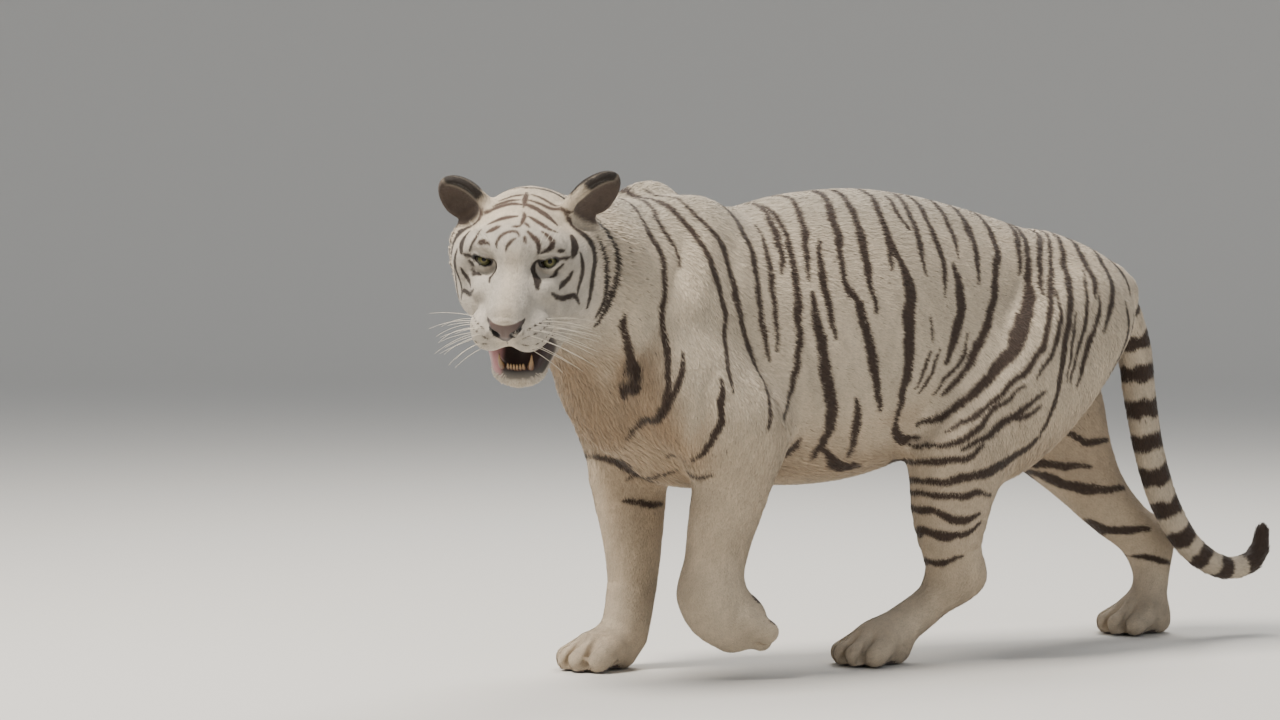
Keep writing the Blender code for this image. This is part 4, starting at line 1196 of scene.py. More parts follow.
RIGHT_STROKES = [  # the right hind leg, set back, and inside the right elbow
    (8, 38, 53, 50, 49, 60, 46),
    (8, 48, 42, 58, 38, 70, 37),
    (8, 58, 36, 70, 32, 80, 32),
    (8, 68, 27, 76, 23, 86, 23),
    (7, 60, 71, 64, 65, 66, 57, 64, 50),
    (6.5, 66, 68, 70, 61, 71, 54),
    (6, 55, 64, 59, 57, 58, 50),
    (6.5, 62, 45, 69, 42, 76, 42.5),
    (6, 84, 17, 92, 15),
    (7, -51, 43, -42, 39, -36, 39),
    (6, -47, 34, -38, 33),
    (5, -47, 47, -38, 45),
]
STRIPE_WIDTH = 1.28  # over all, as blades of pale hair lie across both edges of a stripe
THIGH_FROM = np.array((5.0, 68.0))  # rump stripes run down onto the thigh behind and below this place


def nearest_on(p, knots, halves, count=14):
    """How deep each point lies inside a stroke, in metres: the half width there less the distance. The half
    width follows the sine of the place along the stroke, so both ends come to a point."""
    line = curve(knots, count)
    share_along = np.linspace(0, 1, count)
    half = halves * np.sin(math.pi * (0.08 + 0.84 * share_along)) ** 0.6
    deep = np.full(len(p), -1.0)
    reach = halves + 0.004
    near = np.all((p > line.min(0) - reach) & (p < line.max(0) + reach), axis=1)
    some = p[near]
    found = deep[near]
    for a, b, wa, wb in zip(line[:-1], line[1:], half[:-1], half[1:]):
        t, gap = onto_line(some, a, b)
        found = np.maximum(found, wa + (wb - wa) * t - gap)
    deep[near] = found
    return deep


def body_darkness(p):
    """How deep each point lies in a body stripe. Each side has the same plan, moved and widened differently.
    On the right the thigh's stripes are sheared back with the leg: y grows by the drop below the rump."""
    wander = np.stack([wave(p, 0.06, 11), wave(p, 0.06, 12)], axis=1) * 0.0025
    wander += np.stack([wave(p, 0.015, 13), wave(p, 0.015, 14)], axis=1) * 0.0010
    flat = p[:, 1:] + wander
    deep = np.full(len(p), -1.0)
    for side, own in ((1, LEFT_STROKES), (-1, RIGHT_STROKES)):
        mine = np.flatnonzero(side * p[:, 0] > -0.004)
        for number, row in enumerate(SIDE_STROKES + own):
            knots = np.array(row[1:], float).reshape(-1, 2)
            half = row[0] * STRIPE_WIDTH * MM
            if side < 0 and number < len(SIDE_STROKES):
                drop = np.maximum(THIGH_FROM[1] - knots[:, 1], 0) * ease(0, 6, knots[:, 0] - THIGH_FROM[0])
                knots = knots + np.stack((drop, 0 * drop), axis=1) + (1.2 * math.sin(2.4 * number), 0)
                half *= 1 + 0.2 * math.sin(1.7 * number)
            deep[mine] = np.maximum(deep[mine], nearest_on(flat[mine], knots / 100, half, 3 * len(knots) + 2))
    return deep


# Place along the tail in metres, half width in mm.
TAIL_RINGS = (
    (0.14, 10), (0.21, 15), (0.28, 18), (0.355, 20), (0.43, 19),
    (0.505, 21), (0.58, 20), (0.655, 20), (0.725, 19), (0.795, 19),
)
TAIL_TIP_FROM = 0.855


def tail_darkness(p):
    """How deep each point lies in a ring of the tail, each a little wavy, or in its dark tip."""
    _, along = tangent(p, TAIL_LINE)
    along = along + 0.004 * wave(p, 0.03, 21)
    rings = np.max([half * MM - np.abs(along - place) for place, half in TAIL_RINGS], axis=0)
    return np.maximum(rings, along - TAIL_TIP_FROM)


# Head strokes: half width in mm, which sides have it (0 both, 1 left, -1 right), then x, y, z ... in cm in
# the head's frame. x grows outwards on either side. They are laid onto the skin before use.
HEAD_STROKES = [
    # crown and forehead: a ladder of bars on each side of a short crest
    (4.5, 1, 0, 13, 8.5, 0.2, 11, 8.3, 0.3, 9.4, 7.9, 0.4, 7.6, 7.7),
    (3.5, 1, 0.8, 6, 7.3, 1, 4.4, 7, 0.9, 3, 6.6, 0.7, 1.8, 6.3),
    (3.8, 1, 1, 12.2, 8.2, 3, 11.9, 8, 5, 11, 7.9, 7.6, 10.4, 7.4),
    (4.5, 1, 0.6, 10.2, 8, 2.5, 9.8, 7.8, 4.5, 9.4, 7.4, 6.5, 9.4, 6.8, 9.6, 9.6, 6.2),
    (5.5, 1, 0.4, 8.6, 7.7, 2, 8.1, 7.5, 3.4, 7.4, 7.2, 5, 6.7, 6.6, 6.4, 6.2, 5.9, 7.4, 5.8, 5.3),
    (5, 1, 1.8, 4.8, 6.9, 3.6, 3.9, 6.6, 5.4, 3.2, 6, 7.5, 2.8, 5),
    (3.2, 1, 1.2, 2.8, 6.5, 2.4, 1.9, 6.2),
    (4, 1, 2.2, 0.8, 5.9, 3.4, -0.2, 5.3, 4.4, -0.8, 4.7, 4.8, -1.8, 3.8, 4.9, -2.8, 2.8),
    (3, 1, 1.9, -0.4, 5.4, 2.3, -1.5, 4.6),
    (3.2, -1, 5, 10.6, 7.6, 2.6, 11.4, 8.1, 0.2, 12, 8.3),
    (4.2, -1, 6, 9.2, 6.8, 3.2, 9.8, 7.6, 0.8, 10, 7.9),
    (5.5, -1, 8.4, 8.6, 5.2, 6, 8.4, 6.5, 3.5, 8.6, 7.3, 1, 8.6, 7.6, 0, 8.4, 7.7),
    (4.8, -1, 6, 4, 5.5, 4, 4.2, 6.3, 2, 4.4, 6.7, 0.4, 4.6, 6.9),
    (5, -1, 5.5, 1.3, 4.9, 4.2, 1.8, 5.7, 3.4, 2.2, 6),
    (3.6, -1, 3.2, -2.2, 3.8, 3.3, -1.5, 4.3, 3, -0.6, 4.9, 2.2, 0, 5.5, 1, 0.4, 5.8, -0.3, 0.2, 5.7, -0.9,
     -0.5, 5.3),
    (3, -1, -0.2, -1, 5, 0.6, -1.6, 4.6, 1.2, -2.4, 4.1, 1.5, -3.1, 3.5),
    (3, -1, 0.6, 1.6, 6.3, -0.6, 1.6, 6.3),
    (4, -1, 7.4, -0.9, 3.8, 6.3, -0.6, 4.1, 5.4, -1, 3.9),
    # nape
    (4.5, 0, -0.8, 15.5, 8.4, 1.5, 16.2, 8, 4.5, 16.4, 6.8, 7.5, 15.8, 4.5, 10, 15, 1),
    (4, 1, 1, 18, 7, 4, 18.4, 5.8, 7, 18, 4, 9.5, 17, 1, 11, 16, -3),
    (4.5, -1, 2, 19, 6.5, 5, 19.5, 4.6, 8.5, 18.5, 1.6, 10.5, 17.5, -2),
    (5, 0, -1.5, 21.5, 5, 1.5, 22.4, 4, 4.5, 22.5, 2.4, 8.5, 21.5, -1.5),
    # over and round the eyes
    (5.2, 1, 5.0, 1.5, 5.6, 6.4, 0.8, 4.9, 7.2, -0.4, 4, 6.7, -1.4, 3.3, 5.4, -2.2, 2.7),
    (2.8, -1, 4.6, -2, 3.9, 5.4, -1.5, 4.3, 6.9, -1.2, 3.9),
    (3.2, 1, 8.2, -0.7, 2.7, 9.6, -0.2, 2.6),
    (3.4, 0, 8, -1.2, 1, 9.4, -0.6, 1, 10.4, 0.2, 1.1),
    (3.8, 0, 9.3, -1.2, 0, 8, -1.5, -1.3, 6.6, -2.2, -2.1),
    (6.5, 1, 4.4, -1.6, 0.6, 4.0, -2.7, -1, 4.3, -3.8, -2.2, 4.9, -5.6, -3.2),
    (4.2, -1, 4.4, -1.6, 0.6, 4.0, -2.7, -1, 4.2, -3.8, -1.8, 4.2, -5.4, -2.4),
    # temple, cheek and ruff
    (7.5, 0, 8.2, 9.4, 5.8, 9.9, 8, 4.6, 12, 7.2, 2.4, 13.9, 6.8, 0.2, 14.3, 5.8, -3, 13.4, 4.4, -7.6,
     12.2, 3.6, -11.2),
    (7, 0, 10.4, 4.8, 3.8, 10.9, 2.8, 2.4, 10.7, 0.6, 0.8),
    (3.5, -1, 7.3, 2.6, 5.3, 8.2, 0, 4, 9, -0.6, 1.8),
    (5.5, 0, 11.9, 2.4, 0.8, 12.4, 1.4, -1.8, 11.8, 1.2, -5.2, 11.4, 0.8, -7.2),
    (4.6, 0, 10.9, -0.6, -1.7, 10.1, -1.2, -3.2, 8.3, -3, -4.4),
    (4.4, 0, 7.3, -5.2, -4.3, 9, -2.8, -6.4, 10.9, 0, -7.2, 11.5, 1.2, -9.4),
    (6, 0, 15, 9.4, 1.4, 15.8, 9.2, -3.6, 14.8, 8, -10.6, 12.6, 7.2, -14.2),
    (7, 0, 14.4, 14.6, 3.4, 15.4, 14, -3, 14.2, 12.6, -11, 11.8, 11, -16),
]
HEAD_STRIPE_WIDTH = 1.30
PAD_ROWS = [(-0.083, 0.010), (-0.094, 0.007), (-0.105, 0.003), (-0.115, 0.0)]  # height of a row, its rise
SPOT_SPACING, SPOT_GAP = 0.011, 0.0016  # dark whisker rows are broken into spots, by a wave that deep


def pad_row(side, row, share_along):
    """Places along a row of whisker roots on one pad. The rows run back from the nose, one under another."""
    height, rise = PAD_ROWS[row]
    t = np.asarray(share_along, float)
    return np.stack((side * (0.034 + 0.042 * t), -0.146 + 0.056 * t, height + rise * t), axis=1)


def laid(p, times=12):
    """Points moved onto the skin of the head along its slope, in the head's frame."""
    world = np.asarray(p, float) @ HEAD.T + HEAD_AT
    for _ in range(times):
        g = slope(world, 0.001)
        move = np.clip(skin_level(world) / np.maximum(length(g), 0.3), -0.02, 0.02)
        world = world - unit(g) * move[:, None] * 0.8
    return in_head(world)


def head_lines(count=12):
    """Every head marking as points laid on the skin and a half width: strokes, then the dark whisker rows."""
    lines, halves = [], []
    for number, row in enumerate(HEAD_STROKES):
        for side in (1, -1):
            if row[1] in (0, side):
                knots = np.array(row[2:], float).reshape(-1, 3) / 100 * (side, 1, 1)
                if side < 0 and row[1] == 0:
                    knots = knots + (0.0, 0.002, 0.0015) * np.sin(np.array((1.3, 2.1, 1.7)) * number)
                lines.append(curve(knots, count))
                halves.append(row[0] * HEAD_STRIPE_WIDTH * MM * (1 + 0.12 * side * math.sin(1.9 * number)))
    for side in (1, -1):
        for row in range(len(PAD_ROWS)):
            lines.append(pad_row(side, row, np.linspace(0, 1, count)))
            halves.append((2.5 - 0.2 * row) * MM)
    placed = laid(np.concatenate(lines)).reshape(-1, count, 3)
    return list(zip(placed, halves))


HEAD_LINES = head_lines()


def head_darkness(q):
    """How deep each point lies in a head stripe, in metres, in the head's frame."""
    at = q + np.stack([wave(q, 0.03, 30 + k) for k in range(3)], axis=1) * 0.0010
    deep = np.full(len(q), -1.0)
    for line, half in HEAD_LINES:
        deep = np.maximum(deep, nearest_on(at, line, half, 12))
    on_pad = 1 - ease(-0.085, -0.075, q[:, 1])
    return deep - SPOT_GAP * on_pad * (1 + np.sin(q[:, 1] * math.tau / SPOT_SPACING))


def darkness(p, tail_share):
    """How deep each point lies in any marking, in metres, given in the working frame."""
    deep = body_darkness(p)
    on_tail = tail_share > 0.5
    deep[on_tail] = tail_darkness(p[on_tail])
    at_head = headness(p) > 0.4
    deep[at_head] = head_darkness(in_head(p[at_head]))
    return deep


skin_deep = darkness(skin_at, is_tail)
print("dark share of the skin", round(float((skin_deep > 0).mean()), 3))

# %% [markdown]
# ## Finishes
# Hair is keratin: each strand is a clear tube with pigment, so a coat is rough to the eye with a soft sheen
# across it. Leather of the nose is wet and pebbled, lips and gums are wet, enamel is smooth but stained,
# and an eye is the glossiest thing on the animal. Every finish below is procedural; colour that follows the
# body is carried by an attribute of the mesh, and the finish adds what is finer than the mesh.

# %% Small helpers for finishes and objects
def node(tree, kind, links=(), **settings):
    """Adds a node. Settings name its properties or, in capitals or with spaces, its sockets' values; links
    give (socket, output) pairs."""
    made = tree.nodes.new(kind)
    for name, value in settings.items():
        if hasattr(made, name):
            setattr(made, name, value)
        else:
            made.inputs[name.replace("_", " ")].default_value = value
    for socket, output in links:
        tree.links.new(output, made.inputs[socket])
    return made


def finish_named(name, roughness, **settings):
    """A material with one Principled shader. Returns the material, its tree and the shader."""
    material = bpy.data.materials.new(name)
    material.use_nodes = True
    tree = material.node_tree
    shader = tree.nodes["Principled BSDF"]
    shader.inputs["Roughness"].default_value = roughness
    for socket, value in settings.items():
        shader.inputs[socket.replace("_", " ")].default_value = value
    return material, tree, shader


def mottled(name, roughness, noise, shades, bumps, **settings):
    """A finish whose colour comes from the mesh. A noise of that scale and detail turns it from the darker to
    the lighter of two shades, and the same noise is a bump of that strength and depth in metres."""
    material, tree, shader = finish_named(name, roughness, **settings)
    colour = node(tree, "ShaderNodeAttribute", attribute_name="coat")
    place = node(tree, "ShaderNodeTexCoord")
    grain = node(
        tree, "ShaderNodeTexNoise", [("Vector", place.outputs["Object"])], Scale=noise[0], Detail=noise[1]
    )
    shade = node(tree, "ShaderNodeMapRange", [("Value", grain.outputs["Fac"])])
    for socket, value in zip(("From Min", "From Max", "To Min", "To Max"), (0.3, 0.7, *shades)):
        shade.inputs[socket].default_value = value
    both = node(
        tree, "ShaderNodeVectorMath", [(0, colour.outputs["Color"]), ("Scale", shade.outputs["Result"])],
        operation="SCALE",
    )
    tree.links.new(both.outputs["Vector"], shader.inputs["Base Color"])
    bump = node(
        tree, "ShaderNodeBump", [("Height", grain.outputs["Fac"])], Strength=bumps[0], Distance=bumps[1]
    )
    tree.links.new(bump.outputs["Normal"], shader.inputs["Normal"])
    return material


def linked(name, data):
    """A new object in the scene, with that mesh, light or camera."""
    made = bpy.data.objects.new(name, data)
    bpy.context.scene.collection.objects.link(made)
    return made


def as_object(name, mesh, material, replaces=()):
    """A finished piece: smooth, at the origin, riding on the one body."""
    mesh.materials.append(material)
    mesh.shade_smooth()
    piece = linked(name, mesh)
    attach(piece, "root")
    if replaces:
        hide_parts(*replaces)
    return piece


def paint(mesh, name, colours):
    """Writes one linear colour for each point of a mesh."""
    layer = mesh.color_attributes.new(name, "FLOAT_COLOR", "POINT")
    rows = np.ones((len(mesh.vertices), 4), np.float32)
    rows[:, :3] = colours
    layer.data.foreach_set("color", rows.ravel())


# %% The skin's own colours and finish
STRIPE, STRIPE_FACE, STRIPE_CROWN = linear("#3a2c23"), linear("#30261f"), linear("#503a2c")
LEATHER, LIP, GUM, PINK, PAD = (linear(c) for c in ("#54403a", "#1d1613", "#2c1a17", "#a9797a", "#4a3a34"))


def marked(base, deep, dark, edge):
    """base turned to dark inside the markings, over an edge that wide."""
    return mixed(base, dark, ease(-edge, edge, deep))


def stripe_colour(on_head, on_crown):
    """The markings' colour: dark brown on the body, darker on the face and paler on the crown."""
    body = np.tile(STRIPE, (len(on_head), 1))
    return mixed(mixed(body, STRIPE_FACE, on_head), STRIPE_CROWN, 0.7 * on_crown)


skin_colour = marked(ground, skin_deep, stripe_colour(is_head, is_crown), 0.003)
nose_edge = nose_mask * (1 - ease(0.004, 0.011, nose_half(q[:, 2]) - np.abs(q[:, 0])))
for colour, mask in (
    # The lower lip's dark band carries painted shade below the bare lip.
    (LEATHER, nose_mask), (LIP, 0.75 * nose_edge), (LIP, lip_mask), (LIP, lid_mask),
    # Painted shade: the mouth's hollow is in a near-black gum colour, and the nostrils are nearly black.
    (GUM, mouth_mask), (LIP * 0.5, nostril_mask), (PAD, pad_mask),
):
    skin_colour = mixed(skin_colour, colour, mask)
rim_of_jaw = ease(-0.094, -0.090, ((q - JAW_HINGE) @ JAW_SWING)[:, 2])
pink = np.maximum(lip_mask, mouth_mask) * rim_of_jaw * ease(0.022, 0.036, -q[:, 0])
skin_colour = mixed(skin_colour, PINK, 0.75 * pink * ease(0.15, 0.17, -q[:, 2]))
wet = np.max([nose_mask, nostril_mask, lid_mask, mouth_mask, lip_mask], axis=0)
bald = np.max([wet, pad_mask, (1 - ease(0.002, 0.006, skin_at[:, 2])) * is_paw], axis=0)

skin_finish, tree, shader = finish_named("short_hair_over_skin", 0.8, Sheen_Weight=0.2)
colour = node(tree, "ShaderNodeAttribute", attribute_name="coat")
moist = node(tree, "ShaderNodeAttribute", attribute_name="wet")
place = node(tree, "ShaderNodeTexCoord")
fine = node(tree, "ShaderNodeTexNoise", [("Vector", place.outputs["Object"])], Scale=420.0, Detail=4.0)
pebbles = node(tree, "ShaderNodeTexVoronoi", [("Vector", place.outputs["Object"])], Scale=600.0)
gloss = node(tree, "ShaderNodeMapRange", [("Value", moist.outputs["Fac"])])
gloss.inputs["To Min"].default_value = 0.8
gloss.inputs["To Max"].default_value = 0.42
relief = node(
    tree, "ShaderNodeMix",
    [(0, moist.outputs["Fac"]), (2, fine.outputs["Fac"]), (3, pebbles.outputs["Distance"])],
    data_type="FLOAT",
)
bump = node(tree, "ShaderNodeBump", [("Height", relief.outputs[0])], Strength=0.4, Distance=0.0006)
tree.links.new(colour.outputs["Color"], shader.inputs["Base Color"])
tree.links.new(gloss.outputs["Result"], shader.inputs["Roughness"])
tree.links.new(bump.outputs["Normal"], shader.inputs["Normal"])

paint(skin_mesh, "coat", skin_colour)
wetness = skin_mesh.attributes.new("wet", "FLOAT", "POINT")
wetness.data.foreach_set("value", wet.astype(np.float32))
HARD = ("eye", "tongue", "canine", "incisor")
FLESH = [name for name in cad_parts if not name.startswith(HARD)]

# %% [markdown]
# ## The coat
# Real hair is about 0.1 mm thick and there are millions of them, so each blade here stands for a small
# lock: a bent leaf one to three millimetres wide, one panel and a pointed tip, rooted on the skin. It lifts
# off along the lie and bends back over the coat, with its own slight twist, so that light breaks over the
# coat as it does over fur. The blades cover the skin nearly three deep, which hides it, and are shortest
# round the eyes, on the muzzle, the ears and the feet.

# %% Roots, scattered evenly over the skin
COVER = 2.7  # how many blades deep the coat is
skin_mesh.calc_loop_triangles()
tris = np.empty(len(skin_mesh.loop_triangles) * 3, np.int32)
skin_mesh.loop_triangles.foreach_get("vertices", tris)
tris = tris.reshape(-1, 3)
corner_a, corner_b, corner_c = (skin_at[tris[:, k]] for k in range(3))
area = length(np.cross(corner_b - corner_a, corner_c - corner_a)) / 2
per_area = COVER / (hair * breadth)
per_area *= 1 - ease(0.3, 0.7, bald)
wanted = area * per_area[tris].mean(1)
count = np.floor(wanted + rng.random(len(wanted))).astype(int)
home = np.repeat(np.arange(len(tris)), count)
u, v = rng.random((2, len(home)))
over = u + v > 1
u[over], v[over] = 1 - u[over], 1 - v[over]
weights = np.stack((1 - u - v, u, v), axis=1)


def at_roots(values):
    """Values of the skin's points, at the roots."""
    corners = values[tris[home]]
    return np.einsum("ij,ij...->i...", weights, corners)


roots, outward, along = at_roots(skin_at), unit(at_roots(skin_out)), at_roots(lie)
along = without(along, outward)
root_hair, root_breadth, root_lift = at_roots(hair), at_roots(breadth), at_roots(lift)
root_ground, root_region = at_roots(ground), region[tris[home, 0]]
root_head, root_tail = at_roots(is_head), at_roots(is_tail)
print("skin area", round(area.sum(), 2), "m2,", len(roots), "blades,", 3 * len(roots), "triangles")


# %% The blades
def jitter(low, high):
    return rng.uniform(low, high, len(roots))


roll = jitter(-0.40, 0.40)
sway = jitter(-0.16, 0.16) + 0.16 * wave(roots, 0.040, 41) * ease(0.008, 0.020, root_hair)
forward = unit(along * np.cos(sway)[:, None] + np.cross(outward, along) * np.sin(sway)[:, None])
across = np.cross(outward, forward)
across = across * np.cos(roll)[:, None] + outward * np.sin(roll)[:, None]
long = root_hair * jitter(0.75, 1.2)
half = root_breadth * jitter(0.75, 1.2) / 2
rise = root_lift * jitter(0.6, 1.3)


def blade_point(share_along, height, wide):
    """A point that share of the way along the blade, height x its rise off the skin, wide to its side."""
    return (
        roots
        + forward * (long * share_along)[:, None]
        + outward * (long * (rise * height - 0.03) - 0.0001)[:, None]
        + across * (half * wide)[:, None]
    )


blades = np.stack([
    blade_point(0.0, 0.0, -0.7), blade_point(0.0, 0.0, 0.7),
    blade_point(0.5, 0.75, -1.0), blade_point(0.5, 0.75, 1.0),
    blade_point(1.0, 1.0, 0.0),
], axis=1)

# A blade's colour is read off at its root, middle and tip, so that a stripe's edge stays where the curve is.
STRIPE_EDGE = 0.0016  # half the width over which a marking fades out
# Painted shade between the locks: a blade is darkest at the two points of its root, lighter at the two of the
# middle and lightest at the tip.
PAINTED_ROOT_SHADE = np.array((0.76, 0.76, 0.96, 0.96, 1.05))
places = [roots + forward * (long * part)[:, None] for part in (0, 0.5, 1)]
deep = np.stack([darkness(place, root_tail) for place in places], axis=1)
deep = deep[:, (0, 0, 1, 1, 2)] + jitter(-0.0012, 0.0012)[:, None]
stripe_there = stripe_colour(root_head, at_roots(is_crown)) * jitter(0.85, 1.35)[:, None]
tuft = 1 + 0.05 * wave(roots, 0.018, 51) + 0.05 * wave(roots, 0.008, 52)
pale = root_ground * (tuft * jitter(0.90, 1.08))[:, None]
specks = (rng.random(len(roots)) < 0.008) & (root_head < 0.5) & (roots[:, 2] > 0.45)
pale[specks] *= 0.5
into = ease(-STRIPE_EDGE, STRIPE_EDGE, deep)[:, :, None]
shades = pale[:, None] * (1 - into) + stripe_there[:, None] * into
# Painted shade: each blade's root is darkened as if shaded by the locks around it, and its tip is a little
# lighter.
shades *= PAINTED_ROOT_SHADE[None, :, None]


# %% [markdown]
# ## A flat map for the coat
# Every blade needs a place on a flat map, the UV map OFBake, so that its colours can be baked to
# pictures. The map is an unwrap of the skin itself, as if each region's hide were taken off and laid out: a
# limb, the neck, the trunk and the tail unroll round their own line, and the head opens out round the nose.
# Each blade is a patch three thousandths of the map across, at its root's place.

# %% Unwrapping each region
TRUNK_LINE = [(0, -0.62, 0.66, 0), (0, -0.2, 0.66, 0), (0, 0.3, 0.70, 0), (0, 0.72, 0.73, 0)]
LINES = {
    "trunk": TRUNK_LINE, "neck": NECK_LINE, "tail": TAIL_LINE,
    "fore_right": RIGHT_FORE, "fore_left": LEFT_FORE + LEFT_WRIST[1:],
    "hind_left": LEFT_SHANK + LEFT_ANKLE[1:], "hind_right": RIGHT_SHANK + RIGHT_ANKLE[1:],
}


def unrolled(p, name):
    """u is the turn about the region's line, v the place along it, both from 0 to 1. The head's chart is
    round: the angle away from the nose is the radius, and the angle about the nose is the direction."""
    if name == "head":
        q = in_head(p) - (0, 0.06, -0.03)
        away = np.arccos(np.clip(-q[:, 1] / np.maximum(length(q), 1e-6), -1, 1)) / math.pi
        turn = np.arctan2(q[:, 2], q[:, 0])
        return np.stack((0.5 + 0.48 * away * np.cos(turn), 0.5 + 0.48 * away * np.sin(turn)), axis=1)
    line = curve(np.asarray(LINES[name])[:, :3], 24)
    middle = line.mean(0)
    axis = unit(line[-1] - line[0])
    side = unit(np.cross(axis, (0, 0.3, 1.0)) if abs(axis[2]) < 0.7 else np.cross(axis, (0, 1.0, 0)))
    other = np.cross(axis, side)
    v = (p - middle) @ axis
    order = np.argsort(line @ axis)
    ahead = ((line - middle) @ axis)[order]
    centre = np.stack([np.interp(v, ahead, line[order, k]) for k in range(3)], axis=1)
    off = p - centre
    u = np.arctan2(off @ side, off @ other) / math.tau + 0.5
    v = (v - v.min()) / max(v.max() - v.min(), 1e-6)
    return np.stack((0.01 + 0.98 * u, 0.01 + 0.98 * v), axis=1)


# %% One mesh for each part of the coat
PATCH = 0.003
PATCH_SHAPE = np.array(((-0.5, 0), (0.5, 0), (-0.5, 0.6), (0.5, 0.6), (0, 1.0))) * PATCH
BLADE_FACES = np.array((0, 1, 3, 2)), np.array((2, 3, 4))
MOST_BLADES = 64000  # three triangles each, which keeps a piece under 200,000
hair_material = mottled(
    "short_guard_hair", 0.72, (900.0, 3.0), (0.84, 1.10), (0.35, 0.0008), Sheen_Weight=0.25,
    Sheen_Roughness=0.5, Sheen_Tint=(0.95, 0.92, 0.88, 1), Specular_IOR_Level=0.35,
)


def coat_piece(name, chosen, where):
    """Joins the chosen blades in one mesh: five points and two faces each, with their colours and map."""
    n = len(chosen)
    mesh = bpy.data.meshes.new(name)
    mesh.vertices.add(5 * n)
    mesh.vertices.foreach_set("co", (blades[chosen] + FRAME_SHIFT).astype(np.float32).ravel())
    start = (5 * np.arange(n, dtype=np.int32))[:, None]
    corners = np.concatenate([start + BLADE_FACES[0], start + BLADE_FACES[1]], axis=1)
    mesh.loops.add(7 * n)
    mesh.loops.foreach_set("vertex_index", corners.astype(np.int32).ravel())
    mesh.polygons.add(2 * n)
    starts = (7 * np.arange(n, dtype=np.int32))[:, None] + np.array((0, 4), np.int32)
    mesh.polygons.foreach_set("loop_start", starts.ravel())
    mesh.update(calc_edges=True)
    paint(mesh, "coat", shades[chosen].reshape(-1, 3))
    patches = where[:, None, :] + PATCH_SHAPE[None]
    layer = mesh.uv_layers.new(name="OFBake")
    layer.data.foreach_set("uv", patches.reshape(-1, 2)[corners.ravel()].astype(np.float32).ravel())
    as_object(name, mesh, hair_material)
    return n


for k, name in enumerate(NAMES):
    mine = np.flatnonzero(root_region == k)
    where = unrolled(roots[mine], name)
    parts = -(-len(mine) // MOST_BLADES)
    band = np.argsort(where[:, 1])
    for part, picked in enumerate(np.array_split(band, parts)):
        letter = "" if parts == 1 else "_" + "abcdefgh"[part]
        spot = where[picked].copy()
        if parts > 1:
            spot[:, 1] = (spot[:, 1] - spot[:, 1].min()) / np.ptp(spot[:, 1]) * 0.98 + 0.01
        print("coat of", name + letter, coat_piece("coat_" + name + letter, mine[picked], spot), "blades")

# %% [markdown]
# ## Eyes, teeth, tongue and whiskers
# An eye is a ball with a clear front that stands a little proud; a museum model has it in glass, with the
# iris painted behind. A tiger's iris is olive with fine spokes, a dark rim and a small round pupil in
# daylight. Teeth are stained at the root and lean back at the tip. Each of these is a tube swept along a
# line, so one short formula serves them all.

# %% Tubes swept along a line
def between_rings(rings, spokes):
    """The quads between rings of points: here, its neighbour round the ring, and the two beyond them."""
    k, j = np.meshgrid(np.arange(rings - 1), np.arange(spokes), indexing="ij")
    here, beside = k * spokes + j, k * spokes + (j + 1) % spokes
    return np.stack((here, beside, beside + spokes, here + spokes), axis=-1).reshape(-1, 4)


def tube(line, radii, spokes=12, side=(1.0, 0.0, 0.0), wide=1.0):
    """Points and faces of a closed tube. Ring k goes round point k of the line: point + radius x
    (cos a x wide x side + sin a x up), where side and up are square to the line."""
    line, radii, side = (np.asarray(v, float) for v in (line, radii, side))
    ahead = unit(np.gradient(line, axis=0))
    across = unit(side - ahead * (ahead @ side)[:, None])
    up = np.cross(ahead, across)
    a = np.arange(spokes) * math.tau / spokes
    wide = np.broadcast_to(wide, len(line))
    cosine, sine = np.cos(a)[None, :, None], np.sin(a)[None, :, None]
    ring = cosine * (across * wide[:, None])[:, None] + sine * up[:, None]
    points = (line[:, None] + ring * radii[:, None, None]).reshape(-1, 3)
    ends = [list(range(spokes))[::-1], list(range(len(points) - spokes, len(points)))]
    return points, between_rings(len(line), spokes).tolist() + ends


def joined(name, tubes, tints):
    """One mesh from several tubes, given in the head's frame, with a colour for each point."""
    points, faces, start = [], [], 0
    for where, which in tubes:
        points.append(where)
        faces += [[corner + start for corner in face] for face in which]
        start += len(where)
    at = np.concatenate(points) @ HEAD.T + HEAD_AT + FRAME_SHIFT
    mesh = bpy.data.meshes.new(name)
    mesh.from_pydata(at.tolist(), [], faces)
    paint(mesh, "coat", np.concatenate(tints))
    return mesh


def tinted(name, roughness, grain, rough_depth, spread, **settings):
    """A mottled finish for a small piece: shades spread to both sides of the mesh's own colour."""
    shades = (1 - spread, 1 + spread)
    return mottled(name, roughness, (grain, 4.0), shades, (0.3, rough_depth), **settings)


